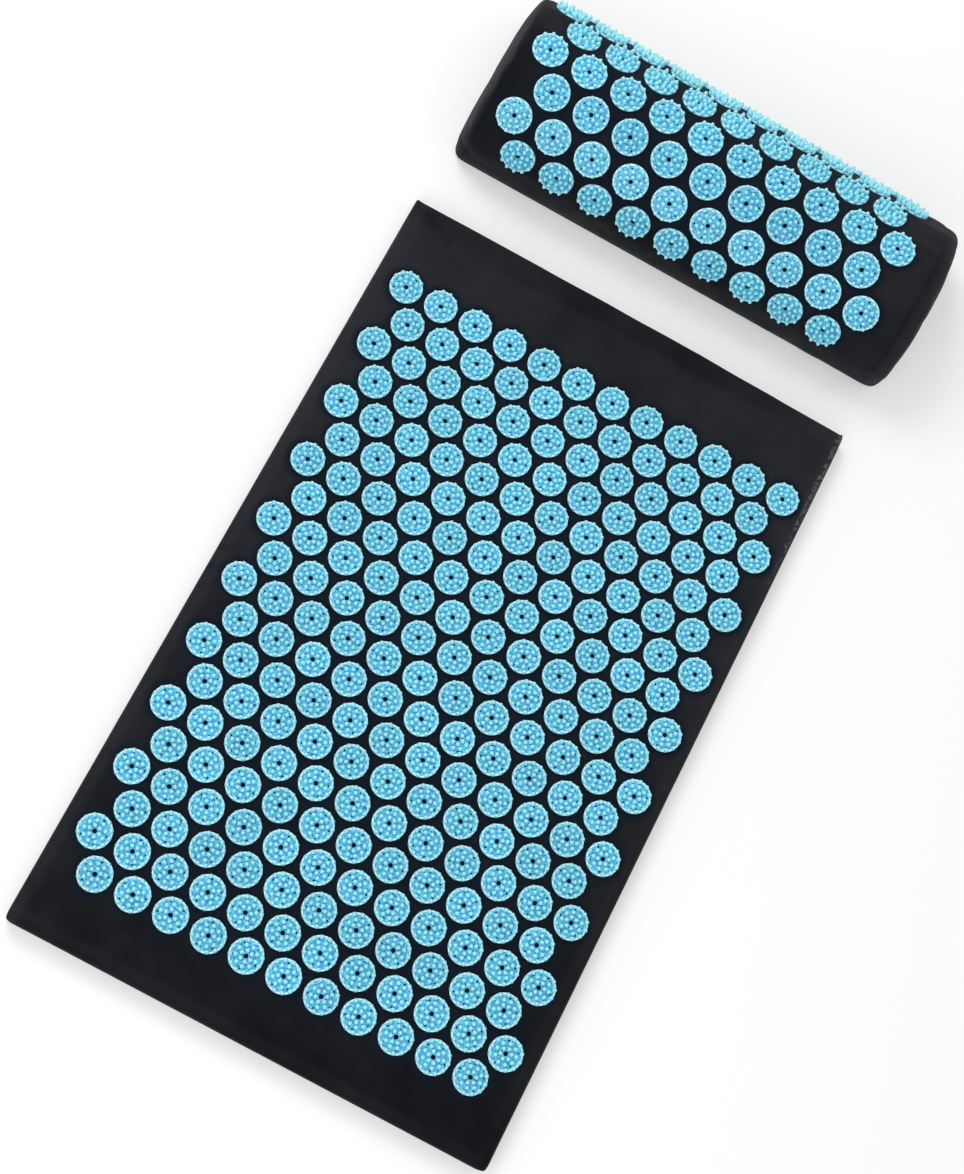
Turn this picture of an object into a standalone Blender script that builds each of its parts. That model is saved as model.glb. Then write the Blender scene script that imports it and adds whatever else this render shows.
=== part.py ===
# Acupressure mat with its half-round neck pillow.
# Metres, +Z up. The origin is on the floor, in the middle of the set's footprint.
# X runs across the mat, +Y runs from the foot end of the mat to the pillow.

import math

import bmesh
import bpy
from mathutils import Vector

# Clearance between two pieces that touch, and how far a cutter runs past what it cuts
GAP = 0.0003
OVERRUN = 0.0010

# Mat, over its cloth
MAT_WIDTH = 0.4200
MAT_LENGTH = 0.68467
MAT_THICKNESS = 0.0200
MAT_EDGE_ROUND = 0.0050
MAT_FOOT_CORNER = 0.0080
CLOTH = 0.0010

# Spiked discs of the mat, and how much of the step from disc to disc each one takes
MAT_DISC_SHARE = 0.8503
MAT_ROWS = 20
MAT_LONG_ROW = 12
MAT_SHORT_ROW = 11
PLATE = 0.0015
SPIKE = 0.0040
TIPS = 6
INNER_RING_SHARE = 0.50
WEB = 0.0030

# Bare cloth around the discs of the mat, from disc rim to mat edge
MAT_SIDE_MARGIN = 0.0121
MAT_FOOT_MARGIN = 0.0433
MAT_HEAD_MARGIN = 0.0633
MAT_FIELD_SHIFT = 0.0020
FOLD_CLEARANCE = 0.0007

# Pillow
PILLOW_DISC = 0.0306
PILLOW_DISC_GAP = 0.0067
PILLOW_FACET_MARGIN = 0.0009
PILLOW_ROWS = 7
PILLOW_LONG_ROW = 10
PILLOW_SHORT_ROW = 9
PILLOW_ROW_TURN = math.radians(22.9)
PILLOW_FIELD_TURN = math.radians(3.5)
PILLOW_RISE = 0.0250
PILLOW_LEFT_MARGIN = 0.0170
PILLOW_RIGHT_MARGIN = 0.0306
PILLOW_END_ROUND = 0.0100
PILLOW_AWAY = 0.0550
PILLOW_SHIFT = 0.0030

# Zips
ZIP_TAPE = 0.0006
ZIP_TAPE_REACH = 0.0060
ZIP_COIL = 0.0018
ZIP_CHANNEL = 0.0016
ZIP_END_MARGIN = 0.0180
ZIP_STOP = 0.0020
SLIDER_LENGTH = 0.0090
SLIDER_PLATE = 0.0008
SLIDER_FLANGE = 0.0007
SLIDER_POST = 0.0010
SLIDER_POST_LENGTH = 0.0014
BAIL_WIDTH = 0.0016
BAIL_WALL = 0.0009
BAIL_REACH = 0.0030
PULL_BAR = 0.0010
PULL_WIDTH = 0.0062
PULL_LENGTH = 0.0240
PULL_THICKNESS = 0.0010

# Round edges and corners are drawn with this many flats, as plain round arcs
EDGE_SEGMENTS = 2
CORNER_SEGMENTS = 3
END_SEGMENTS = 2
PULL_TIP_SEGMENTS = 6
COIL_SIDES = 8
ARC_SHARE = 0.5

# How far the zip's metal shows as metal through its black finish
METAL_SHARE = 0.8

# Sizes that follow
DISC_HEIGHT = PLATE + SPIKE
MAT_PITCH = (MAT_WIDTH - 2 * MAT_SIDE_MARGIN) / (MAT_LONG_ROW - 1 + MAT_DISC_SHARE)
MAT_DISC = MAT_PITCH * MAT_DISC_SHARE
MAT_FIELD_LENGTH = MAT_LENGTH - MAT_FOOT_MARGIN - MAT_HEAD_MARGIN
MAT_ROW_STEP = (MAT_FIELD_LENGTH - MAT_DISC) / (MAT_ROWS - 1)
PILLOW_PITCH = PILLOW_DISC + PILLOW_DISC_GAP
PILLOW_FIELD = (PILLOW_LONG_ROW - 1) * PILLOW_PITCH + PILLOW_DISC
PILLOW_LENGTH = PILLOW_FIELD + PILLOW_LEFT_MARGIN + PILLOW_RIGHT_MARGIN
PILLOW_FACET = PILLOW_DISC + PILLOW_FACET_MARGIN
PILLOW_RADIUS = PILLOW_FACET / 2 / math.tan(PILLOW_ROW_TURN / 2)
PILLOW_CORNER = PILLOW_RADIUS / math.cos(PILLOW_ROW_TURN / 2)
PILLOW_HALF_TURN = PILLOW_ROWS * PILLOW_ROW_TURN / 2
PILLOW_BACK = PILLOW_CORNER * math.sin(PILLOW_FIELD_TURN + PILLOW_HALF_TURN)
PILLOW_FRONT = PILLOW_CORNER * math.sin(PILLOW_FIELD_TURN - PILLOW_HALF_TURN)

SLIDER_HALF = ZIP_CHANNEL / 2 + ZIP_COIL + GAP + SLIDER_FLANGE
SLOT_HALF = SLIDER_HALF + GAP
COIL_DEPTH = ZIP_COIL + 2 * GAP
TAPE_FRONT = -CLOTH - GAP
TAPE_MIDDLE = TAPE_FRONT - ZIP_TAPE / 2
PLATE_REACH = COIL_DEPTH / 2 + GAP
BAIL_TOP = TAPE_MIDDLE + PLATE_REACH + SLIDER_PLATE + BAIL_REACH
ZIP_ROOM = -TAPE_MIDDLE + PLATE_REACH + SLIDER_PLATE + GAP

LAST_ROW_TURN = PILLOW_FIELD_TURN + (PILLOW_ROWS - 1) / 2 * PILLOW_ROW_TURN
LAST_ROW_TOP = (PILLOW_RADIUS + GAP + DISC_HEIGHT) * math.sin(LAST_ROW_TURN)
LAST_ROW_REACH = LAST_ROW_TOP + PILLOW_DISC / 2 * math.cos(LAST_ROW_TURN)
BACK_REACH = max(PILLOW_BACK + BAIL_TOP, LAST_ROW_REACH)

SET_LENGTH = MAT_LENGTH + PILLOW_AWAY - PILLOW_FRONT + BACK_REACH
FOOT_Y = -SET_LENGTH / 2
HEAD_Y = FOOT_Y + MAT_LENGTH
FIRST_ROW_Y = FOOT_Y + MAT_FOOT_MARGIN + MAT_DISC / 2
FOLD_Y = FIRST_ROW_Y + (MAT_ROWS - 1) * MAT_ROW_STEP / 2
FOLD_Z = MAT_THICKNESS + GAP + DISC_HEIGHT + FOLD_CLEARANCE
PILLOW_Y = HEAD_Y + PILLOW_AWAY - PILLOW_FRONT
UNDER_COVER = CLOTH + GAP


def clear_scene():
    for item in list(bpy.data.objects):
        bpy.data.objects.remove(item, do_unlink=True)


def finish(name, colour, roughness, metallic=0.0):
    made = bpy.data.materials.new(name)
    made.use_nodes = True
    shader = made.node_tree.nodes["Principled BSDF"]
    shader.inputs["Base Color"].default_value = (*colour, 1.0)
    shader.inputs["Roughness"].default_value = roughness
    shader.inputs["Metallic"].default_value = metallic
    made.diffuse_color = (*colour, 1.0)
    return made


def holder(name, place):
    empty = bpy.data.objects.new(name, None)
    empty.location = place
    bpy.context.scene.collection.objects.link(empty)
    return empty


def solid(name, shape, material, place=(0, 0, 0), parent=None, smooth_under=None):
    # The shape is drawn about its own origin, which is set down at place, in world terms.
    bmesh.ops.recalc_face_normals(shape, faces=shape.faces)
    mesh = bpy.data.meshes.new(name)
    shape.to_mesh(mesh)
    shape.free()
    if smooth_under:
        mesh.shade_smooth()
        mesh.set_sharp_from_angle(angle=smooth_under)
    made = bpy.data.objects.new(name, mesh)
    if material:
        mesh.materials.append(material)
    made.location = place
    bpy.context.scene.collection.objects.link(made)
    if parent:
        made.parent = parent
        made.location = Vector(place) - parent.location
    return made


def cutter(name, shape, place=(0, 0, 0), parent=None):
    made = solid(name, shape, None, place, parent)
    made.hide_render = True
    made.display_type = "WIRE"
    return made


def boolean(target, tool, operation):
    step = target.modifiers.new(tool.name, "BOOLEAN")
    step.operation = operation
    step.solver = "EXACT"
    step.object = tool


def skin(target, thickness):
    step = target.modifiers.new("cloth", "SOLIDIFY")
    step.thickness = thickness
    step.offset = -1
    step.use_even_offset = True
    step.use_rim = True


def block(low, high):
    shape = bmesh.new()
    size = Vector(high) - Vector(low)
    middle = (Vector(high) + Vector(low)) / 2
    bmesh.ops.create_cube(shape, size=1)
    bmesh.ops.scale(shape, vec=size, verts=shape.verts)
    bmesh.ops.translate(shape, vec=middle, verts=shape.verts)
    return shape


def prism(outline, axis, low, high):
    # The outline's two coordinates are those of the other two axes, in X, Y, Z order.
    shape = bmesh.new()
    order = [n for n in range(3) if n != axis]
    corners = []
    for first, second in outline:
        at = Vector((0, 0, 0))
        at[order[0]] = first
        at[order[1]] = second
        at[axis] = low
        corners.append(shape.verts.new(at))
    face = shape.faces.new(corners)
    moved = bmesh.ops.extrude_face_region(shape, geom=[face])
    top = [v for v in moved["geom"] if isinstance(v, bmesh.types.BMVert)]
    along = Vector((0, 0, 0))
    along[axis] = high - low
    bmesh.ops.translate(shape, vec=along, verts=top)
    return shape


def lies_at(edge, axis, value):
    return all(abs(v.co[axis] - value) < GAP for v in edge.verts)


def round_edges(shape, edges, radius, count):
    bmesh.ops.bevel(
        shape,
        geom=edges,
        offset=radius,
        offset_type="OFFSET",
        segments=count,
        profile=ARC_SHARE,
        affect="EDGES",
        clamp_overlap=True,
    )


def upright_edges(shape, end_y):
    found = []
    for edge in shape.edges:
        rise = edge.verts[0].co - edge.verts[1].co
        if abs(rise.z) > GAP and abs(rise.x) + abs(rise.y) < GAP and lies_at(edge, 1, end_y):
            found.append(edge)
    return found


def pad_half(half_width, outer_y, fold_y, low, high, corner, edge_round):
    # Half a pad: its corners are rounded at the outer end, its top edges on all sides but the fold.
    near = min(outer_y, fold_y)
    far = max(outer_y, fold_y)
    shape = block((-half_width, near, low), (half_width, far, high))
    if corner:
        round_edges(shape, upright_edges(shape, outer_y), corner, CORNER_SEGMENTS)
    top = [e for e in shape.edges if lies_at(e, 2, high) and not lies_at(e, 1, fold_y)]
    if edge_round:
        round_edges(shape, top, edge_round, EDGE_SEGMENTS)
    return shape


def remove_faces(shape, axis, value):
    gone = [f for f in shape.faces if all(abs(v.co[axis] - value) < GAP / 2 for v in f.verts)]
    bmesh.ops.delete(shape, geom=gone, context="FACES")


def mat_half(side, outer_y, fold_y, corner, cloth, foam, parent):
    # One half of the mat: bottom cover, foam and top cover, one inside the other.
    half_width = MAT_WIDTH / 2
    inward = math.copysign(1, fold_y - outer_y)
    inset = CLOTH + GAP
    under = pad_half(half_width, outer_y, fold_y, 0, CLOTH, corner, 0)
    solid(f"mat_bottom_cover_{side}", under, cloth, parent=parent)

    over = pad_half(half_width, outer_y, fold_y, UNDER_COVER, MAT_THICKNESS, corner, MAT_EDGE_ROUND)
    remove_faces(over, 2, UNDER_COVER)
    remove_faces(over, 1, fold_y)
    cover = solid(f"mat_top_cover_{side}", over, cloth, parent=parent)
    skin(cover, CLOTH)

    end_room = ZIP_ROOM if side == "head" else inset
    slab = pad_half(
        half_width - inset,
        outer_y + inward * end_room,
        fold_y,
        UNDER_COVER,
        MAT_THICKNESS - inset,
        max(corner - inset, 0),
        MAT_EDGE_ROUND - inset,
    )
    solid(f"mat_foam_{side}", slab, foam, parent=parent)
    return cover


def disc_turns(radius):
    # Places round the rim: six tips, the valleys between them, and the corners of the two webs.
    # The last number of each is the place on the inner ring that lies behind it.
    web_turn = math.asin(WEB / 2 / radius)
    places = []
    for n in range(TIPS):
        valley = n * math.tau / TIPS
        if n % (TIPS // 2) == 0:
            places += [(valley - web_turn, "web", 2 * n), (valley + web_turn, "web", 2 * n)]
        else:
            places.append((valley, "valley", 2 * n))
        places.append((valley + math.pi / TIPS, "tip", 2 * n + 1))
    return places


def inner_ring(shape, middle, radius):
    # Tips round the middle of a disc, each behind a valley of the rim, and the valleys between.
    ring = []
    for n in range(2 * TIPS):
        turn = n * math.pi / TIPS
        high = DISC_HEIGHT if n % 2 == 0 else PLATE
        ring.append(shape.verts.new((middle + radius * math.cos(turn), radius * math.sin(turn), high)))
    return ring


def disc_top(shape, rim, ring, centre):
    # The spikes stand apart, because each fold between them runs from valley to valley.
    for n in range(len(rim)):
        vertex, kind, behind = rim[n]
        after, kind_after, behind_after = rim[(n + 1) % len(rim)]
        if behind == behind_after:
            shape.faces.new((vertex, after, ring[behind]))
        elif kind == "tip":
            shape.faces.new((vertex, after, ring[behind]))
            shape.faces.new((after, ring[behind_after], ring[behind]))
        else:
            shape.faces.new((vertex, after, ring[behind_after]))
            shape.faces.new((vertex, ring[behind_after], ring[behind]))
    for n in range(len(ring)):
        shape.faces.new((ring[n], ring[(n + 1) % len(ring)], centre))


def add_disc(shape, middle, radius, joined_left, joined_right):
    # A round plate below, spikes in two rings above, low in the middle. Returns its web ends.
    rim = []
    base = []
    for turn, kind, behind in disc_turns(radius):
        x = middle + radius * math.cos(turn)
        y = radius * math.sin(turn)
        high = DISC_HEIGHT if kind == "tip" else PLATE
        rim.append((shape.verts.new((x, y, high)), kind, behind))
        if kind != "tip":
            base.append(shape.verts.new((x, y, 0)))
    ring = inner_ring(shape, middle, radius * INNER_RING_SHARE)
    disc_top(shape, rim, ring, shape.verts.new((middle, 0, PLATE)))
    shape.faces.new(list(reversed(base)))

    low = [v for v, kind, behind in rim if kind != "tip"]
    ends = {}
    step = 0
    for n in range(len(rim)):
        vertex, kind, behind = rim[n]
        after, kind_after, behind_after = rim[(n + 1) % len(rim)]
        if kind == "tip":
            continue
        here = base[step]
        there = base[(step + 1) % len(base)]
        if kind_after == "tip":
            beyond = low[(step + 1) % len(low)]
            shape.faces.new((here, after, vertex))
            shape.faces.new((here, there, after))
            shape.faces.new((there, beyond, after))
        else:
            to_right = here.co.x > middle
            ends["right" if to_right else "left"] = (here, there, after, vertex)
            if not (joined_right if to_right else joined_left):
                shape.faces.new((here, there, after, vertex))
        step += 1
    return ends


def disc_row(name, count, diameter, pitch, plastic, place, parent, lean=0.0):
    # Discs side by side along X, joined by narrow webs at the height of their plates.
    shape = bmesh.new()
    before = None
    for n in range(count):
        middle = (n - (count - 1) / 2) * pitch
        ends = add_disc(shape, middle, diameter / 2, n > 0, n < count - 1)
        if before:
            right = before
            left = ends["left"]
            # A left end is numbered the other way round from the right end that it faces.
            mate = (left[1], left[0], left[3], left[2])
            for k in range(4):
                m = (k + 1) % 4
                shape.faces.new((right[k], right[m], mate[m], mate[k]))
        before = ends["right"]
    made = solid(name, shape, plastic, place, parent)
    made.rotation_euler = (-lean, 0, 0)
    return made


def mat_discs(plastic, foot, head):
    field_x = MAT_FIELD_SHIFT
    for n in range(MAT_ROWS):
        count = MAT_SHORT_ROW if n % 2 == 0 else MAT_LONG_ROW
        place = (field_x, FIRST_ROW_Y + n * MAT_ROW_STEP, MAT_THICKNESS + GAP)
        parent = foot if n < MAT_ROWS // 2 else head
        disc_row(f"mat_disc_row_{n + 1:02d}", count, MAT_DISC, MAT_PITCH, plastic, place, parent)


def pillow_section(inset, low):
    # The half-round outline, front foot to back foot, with a flat under each row of discs.
    corner = (PILLOW_RADIUS - inset) / math.cos(PILLOW_ROW_TURN / 2)
    front = PILLOW_FRONT + inset
    back = PILLOW_BACK - inset
    points = [(front, low)]
    for n in range(PILLOW_ROWS + 1):
        turn = PILLOW_FIELD_TURN - PILLOW_HALF_TURN + n * PILLOW_ROW_TURN
        y = min(max(corner * math.sin(turn), front), back)
        points.append((y, PILLOW_RISE + corner * math.cos(turn)))
    points.append((back, low))
    return points


def end_rim(shape, end_x, low):
    # Edges of an end face, without the one along the floor.
    return [e for e in shape.edges if lies_at(e, 0, end_x) and not lies_at(e, 2, low)]


def pillow_pieces(cloth, foam, parent):
    half = PILLOW_LENGTH / 2
    inset = CLOTH + GAP
    seam = half - PILLOW_END_ROUND - GAP

    base = block((-half, PILLOW_FRONT, 0), (half, PILLOW_BACK, CLOTH))
    corners = [e for e in base.edges if abs(e.verts[0].co.z - e.verts[1].co.z) > GAP]
    round_edges(base, corners, PILLOW_END_ROUND, END_SEGMENTS)
    solid("pillow_base_panel", base, cloth, parent.location, parent)

    arch = prism(pillow_section(0, UNDER_COVER), 0, -seam, seam)
    remove_faces(arch, 0, -seam)
    remove_faces(arch, 0, seam)
    remove_faces(arch, 2, UNDER_COVER)
    cover = solid("pillow_arched_cover", arch, cloth, parent.location, parent)
    skin(cover, CLOTH)

    for side, hand in (("left", -1), ("right", 1)):
        inner_x = hand * (half - PILLOW_END_ROUND)
        outer_x = hand * half
        near = min(inner_x, outer_x)
        far = max(inner_x, outer_x)
        cap = prism(pillow_section(0, UNDER_COVER), 0, near, far)
        round_edges(cap, end_rim(cap, outer_x, UNDER_COVER), PILLOW_END_ROUND - CLOTH, END_SEGMENTS)
        remove_faces(cap, 0, inner_x)
        remove_faces(cap, 2, UNDER_COVER)
        panel = solid(f"pillow_{side}_end_panel", cap, cloth, parent.location, parent)
        skin(panel, CLOTH)

    core = prism(pillow_section(inset, UNDER_COVER), 0, -half + inset, half - inset)
    for end_x in (-half + inset, half - inset):
        rim = end_rim(core, end_x, UNDER_COVER)
        round_edges(core, rim, PILLOW_END_ROUND - CLOTH, END_SEGMENTS)
    filling = solid("pillow_foam_core", core, foam, parent.location, parent)
    return cover, filling


def pillow_discs(plastic, parent):
    field_x = (PILLOW_LEFT_MARGIN - PILLOW_RIGHT_MARGIN) / 2
    seat = PILLOW_RADIUS + GAP
    for n in range(PILLOW_ROWS):
        count = PILLOW_SHORT_ROW if n % 2 == 0 else PILLOW_LONG_ROW
        turn = PILLOW_FIELD_TURN + (n - (PILLOW_ROWS - 1) / 2) * PILLOW_ROW_TURN
        offset = Vector((field_x, seat * math.sin(turn), PILLOW_RISE + seat * math.cos(turn)))
        place = parent.location + offset
        name = f"pillow_disc_row_{n + 1}"
        disc_row(name, count, PILLOW_DISC, PILLOW_PITCH, plastic, place, parent, turn)


def zip_strips(prefix, length, tape_half, at, cloth, nylon, parent):
    # Tapes behind the wall, and the coils along their facing edges.
    coil_low = ZIP_CHANNEL / 2
    coil_high = coil_low + ZIP_COIL
    for side, hand in (("upper", 1), ("lower", -1)):
        inner = hand * (coil_high + GAP)
        outer = hand * tape_half
        low = (-length / 2, TAPE_FRONT - ZIP_TAPE, min(inner, outer))
        high = (length / 2, TAPE_FRONT, max(inner, outer))
        solid(f"{prefix}_zip_tape_{side}", block(low, high), cloth, at, parent)

        coil_middle = hand * (coil_low + coil_high) / 2
        outline = []
        for n in range(COIL_SIDES):
            turn = (n + 0.5) * math.tau / COIL_SIDES
            y = TAPE_MIDDLE + COIL_DEPTH / 2 * math.cos(turn)
            outline.append((y, coil_middle + ZIP_COIL / 2 * math.sin(turn)))
        end = length / 2 - ZIP_STOP - 2 * GAP
        coil = prism(outline, 0, -end, end)
        name = f"{prefix}_zip_coil_{side}"
        solid(name, coil, nylon, at, parent, smooth_under=math.radians(50))

    depth = COIL_DEPTH / 2
    for side, hand in (("left", -1), ("right", 1)):
        outer = hand * (length / 2 - GAP)
        inner = hand * (length / 2 - GAP - ZIP_STOP)
        low = (min(inner, outer), TAPE_MIDDLE - depth, -coil_high)
        high = (max(inner, outer), TAPE_MIDDLE + depth, coil_high)
        stop = block(low, high)
        solid(f"{prefix}_zip_stop_{side}", stop, nylon, at, parent)


def channel(face, depth, plate):
    # A slider plate seen along X: the plate itself and its two lips, which turn in over the coil.
    lip = SLIDER_HALF - SLIDER_FLANGE
    away = math.copysign(1, plate)
    points = [
        (face + plate, -SLIDER_HALF),
        (face + plate, SLIDER_HALF),
        (face - away * depth, SLIDER_HALF),
        (face - away * depth, lip),
        (face, lip),
        (face, -lip),
        (face - away * depth, -lip),
        (face - away * depth, -SLIDER_HALF),
    ]
    return points


def zip_slider(prefix, at, metal, parent):
    # Two plates round the coil, the post that parts it, and the bail that holds the pull tab.
    half = SLIDER_LENGTH / 2
    front = TAPE_MIDDLE + PLATE_REACH
    back = TAPE_MIDDLE - PLATE_REACH
    lip_depth = PLATE_REACH - ZIP_TAPE / 2 - GAP
    body = prism(channel(front, lip_depth, SLIDER_PLATE), 0, -half, half)
    made = solid(f"{prefix}_zip_slider", body, metal, at, parent)

    rear = prism(channel(back, lip_depth, -SLIDER_PLATE), 0, -half, half)
    bite = SLIDER_PLATE / 2
    post = block(
        (half - SLIDER_POST_LENGTH, back - bite, -SLIDER_POST / 2),
        (half, front + bite, SLIDER_POST / 2),
    )
    top = front + SLIDER_PLATE
    reach = SLIDER_LENGTH / 2 - BAIL_WALL
    bail = block((-reach, front + bite, -BAIL_WIDTH / 2), (reach, top + BAIL_REACH, BAIL_WIDTH / 2))
    eye = block(
        (-reach + BAIL_WALL, top, -BAIL_WIDTH / 2 - OVERRUN),
        (reach - BAIL_WALL, top + BAIL_REACH - BAIL_WALL, BAIL_WIDTH / 2 + OVERRUN),
    )
    tools = (("post", post, "UNION"), ("rear", rear, "UNION"), ("bail", bail, "UNION"))
    for word, shape, operation in tools + (("eye", eye, "DIFFERENCE"),):
        tool = cutter(f"{prefix}_slider_{word}", shape, at, parent)
        boolean(made, tool, operation)
    return made


def pull_axis(at):
    # The pull turns about its cross bar, which fills the bail but for its clearance.
    room = BAIL_REACH - BAIL_WALL
    top = TAPE_MIDDLE + PLATE_REACH + SLIDER_PLATE
    return Vector(at) + Vector((0, top + room / 2, 0))


def zip_pull(prefix, at, metal, parent):
    # A flat tab that lies along the zip, slotted so that it swings over the bail.
    half = PULL_WIDTH / 2
    bar = PULL_BAR / 2
    clear = math.hypot(SLIDER_LENGTH / 2 - BAIL_WALL, BAIL_REACH) + GAP
    straight = PULL_LENGTH - half
    outline = [(bar, -half), (bar, half)]
    for n in range(PULL_TIP_SEGMENTS + 1):
        turn = math.pi / 2 + n * math.pi / PULL_TIP_SEGMENTS
        outline.append((-straight + half * math.cos(turn), half * math.sin(turn)))
    tab = prism(outline, 1, -PULL_THICKNESS / 2, PULL_THICKNESS / 2)
    made = solid(f"{prefix}_zip_pull", tab, metal, pull_axis(at), parent)
    slot_half = BAIL_WIDTH / 2 + GAP
    slot = block(
        (-clear, -PULL_THICKNESS / 2 - OVERRUN, -slot_half),
        (-bar, PULL_THICKNESS / 2 + OVERRUN, slot_half),
    )
    tool = cutter(f"{prefix}_pull_slot", slot, pull_axis(at), parent)
    boolean(made, tool, "DIFFERENCE")
    return made


def add_zip(prefix, length, tape_half, at, wall, finishes, parent):
    # A closed zip in a slot of a wall that faces +Y, its slider at the right-hand end.
    cloth, nylon, metal = finishes
    slot = block(
        (-length / 2 + GAP, -CLOTH - OVERRUN, -SLOT_HALF),
        (length / 2 - GAP, OVERRUN, SLOT_HALF),
    )
    boolean(wall, cutter(f"{prefix}_zip_slot", slot, at, parent), "DIFFERENCE")
    zip_strips(prefix, length, tape_half, at, cloth, nylon, parent)
    coil_end = length / 2 - ZIP_STOP - 2 * GAP
    slider_at = Vector(at) + Vector((coil_end - SLIDER_LENGTH / 2, 0, 0))
    zip_slider(prefix, slider_at, metal, parent)
    zip_pull(prefix, slider_at, metal, parent)


def build():
    clear_scene()
    cotton = finish("black_cotton", (0.014, 0.015, 0.018), 0.85)
    foam = finish("white_foam", (0.80, 0.79, 0.74), 0.95)
    plastic = finish("sky_blue_plastic", (0.18, 0.56, 0.75), 0.35)
    nylon = finish("black_nylon", (0.020, 0.020, 0.022), 0.45)
    metal = finish("black_metal", (0.025, 0.025, 0.028), 0.35, METAL_SHARE)
    finishes = (cotton, nylon, metal)

    foot = holder("mat_foot_half", (0, FOOT_Y, 0))
    head = holder("mat_fold_axis", (0, FOLD_Y, FOLD_Z))
    pillow = holder("pillow", (PILLOW_SHIFT, PILLOW_Y, 0))

    mat_half("foot", FOOT_Y, FOLD_Y - GAP / 2, MAT_FOOT_CORNER, cotton, foam, foot)
    head_cover = mat_half("head", HEAD_Y, FOLD_Y + GAP / 2, 0, cotton, foam, head)
    mat_discs(plastic, foot, head)

    arch, core = pillow_pieces(cotton, foam, pillow)
    pillow_discs(plastic, pillow)

    wall_top = MAT_THICKNESS - MAT_EDGE_ROUND
    mat_tape_half = (wall_top - UNDER_COVER) / 2 - GAP
    mat_zip_at = (0, HEAD_Y, (wall_top + UNDER_COVER) / 2)
    mat_zip_length = MAT_WIDTH - 2 * ZIP_END_MARGIN
    add_zip("mat", mat_zip_length, mat_tape_half, mat_zip_at, head_cover, finishes, head)

    zip_rise = UNDER_COVER + ZIP_TAPE_REACH + GAP
    pillow_zip_at = (PILLOW_SHIFT, PILLOW_Y + PILLOW_BACK, zip_rise)
    pillow_zip_length = PILLOW_LENGTH - 2 * PILLOW_END_ROUND - 2 * ZIP_END_MARGIN
    add_zip("pillow", pillow_zip_length, ZIP_TAPE_REACH, pillow_zip_at, arch, finishes, pillow)
    pocket = block(
        (-pillow_zip_length / 2 - OVERRUN, -ZIP_ROOM, -ZIP_TAPE_REACH - GAP - OVERRUN),
        (pillow_zip_length / 2 + OVERRUN, OVERRUN, ZIP_TAPE_REACH + GAP),
    )
    boolean(core, cutter("pillow_zip_pocket", pocket, pillow_zip_at, pillow), "DIFFERENCE")


build()
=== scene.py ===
# Acupressure mat with its neck pillow: black cotton over foam, set with sky blue spiked discs.
import math
import random
from contextlib import contextmanager

import bpy
from mathutils import Matrix, Vector, kdtree, noise


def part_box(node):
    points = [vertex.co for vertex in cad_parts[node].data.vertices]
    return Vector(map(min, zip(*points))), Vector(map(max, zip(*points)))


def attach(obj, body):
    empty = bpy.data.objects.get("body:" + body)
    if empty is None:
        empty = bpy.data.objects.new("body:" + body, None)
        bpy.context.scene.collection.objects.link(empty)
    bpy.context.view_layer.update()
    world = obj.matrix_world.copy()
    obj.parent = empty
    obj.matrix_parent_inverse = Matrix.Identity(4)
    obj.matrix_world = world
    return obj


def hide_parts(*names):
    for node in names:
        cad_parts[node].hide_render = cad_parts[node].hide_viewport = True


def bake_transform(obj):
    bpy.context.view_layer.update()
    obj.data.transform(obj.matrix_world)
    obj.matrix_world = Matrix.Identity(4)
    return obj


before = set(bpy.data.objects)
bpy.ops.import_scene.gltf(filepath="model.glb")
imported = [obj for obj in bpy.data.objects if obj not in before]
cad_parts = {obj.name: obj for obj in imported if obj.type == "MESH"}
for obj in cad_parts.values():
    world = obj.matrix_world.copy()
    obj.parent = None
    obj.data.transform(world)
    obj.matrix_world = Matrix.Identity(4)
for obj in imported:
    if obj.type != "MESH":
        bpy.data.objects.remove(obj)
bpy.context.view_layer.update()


def clearPick():
    if bpy.context.mode != "OBJECT":
        bpy.ops.object.mode_set(mode="OBJECT")
    bpy.ops.object.select_all(action="DESELECT")


def hold(piece):
    clearPick()
    piece.select_set(True)
    bpy.context.view_layer.objects.active = piece


@contextmanager
def editing(piece, kind=None, test=None):
    # edit mode, with the faces or edges that pass the test picked, or everything
    hold(piece)
    bpy.ops.object.mode_set(mode="EDIT")
    if kind:
        bpy.ops.mesh.select_mode(type=kind)
    bpy.ops.mesh.select_all(action="DESELECT" if kind else "SELECT")
    bpy.ops.object.mode_set(mode="OBJECT")
    if kind == "FACE":
        for face in piece.data.polygons:
            face.select = bool(test(face.center, face.normal))
    elif kind == "EDGE":
        ends = piece.data.vertices
        for edge in piece.data.edges:
            edge.select = bool(test(*(ends[n].co for n in edge.vertices)))
    bpy.ops.object.mode_set(mode="EDIT")
    yield
    bpy.ops.object.mode_set(mode="OBJECT")


def extrude(x, y, z):
    bpy.ops.mesh.extrude_region_move(TRANSFORM_OT_translate={"value": (x, y, z)})


def scalePick(size, about):
    bpy.ops.transform.resize(value=size, center_override=about, orient_type="GLOBAL")


def named(name):
    piece = bpy.context.active_object
    piece.name = name
    piece.data.name = name
    return piece


def settle(piece):
    # place, turn and size go into the mesh
    hold(piece)
    bpy.ops.object.transform_apply(location=True, rotation=True, scale=True)
    return piece


def block(name, middle, size):
    bpy.ops.mesh.primitive_cube_add(size=1, location=middle)
    named(name).scale = size
    return settle(bpy.context.active_object)


def rod(name, sides, radius, depth, place=(0, 0, 0), turn=(0, 0, 0)):
    bpy.ops.mesh.primitive_cylinder_add(
        vertices=sides, radius=radius, depth=depth, location=place, rotation=turn
    )
    return settle(named(name))


def giveStep(piece, kind, **settings):
    hold(piece)
    step = piece.modifiers.new(kind.title(), kind)
    for key, value in settings.items():
        setattr(step, key, value)
    bpy.ops.object.modifier_apply(modifier=step.name)


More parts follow.
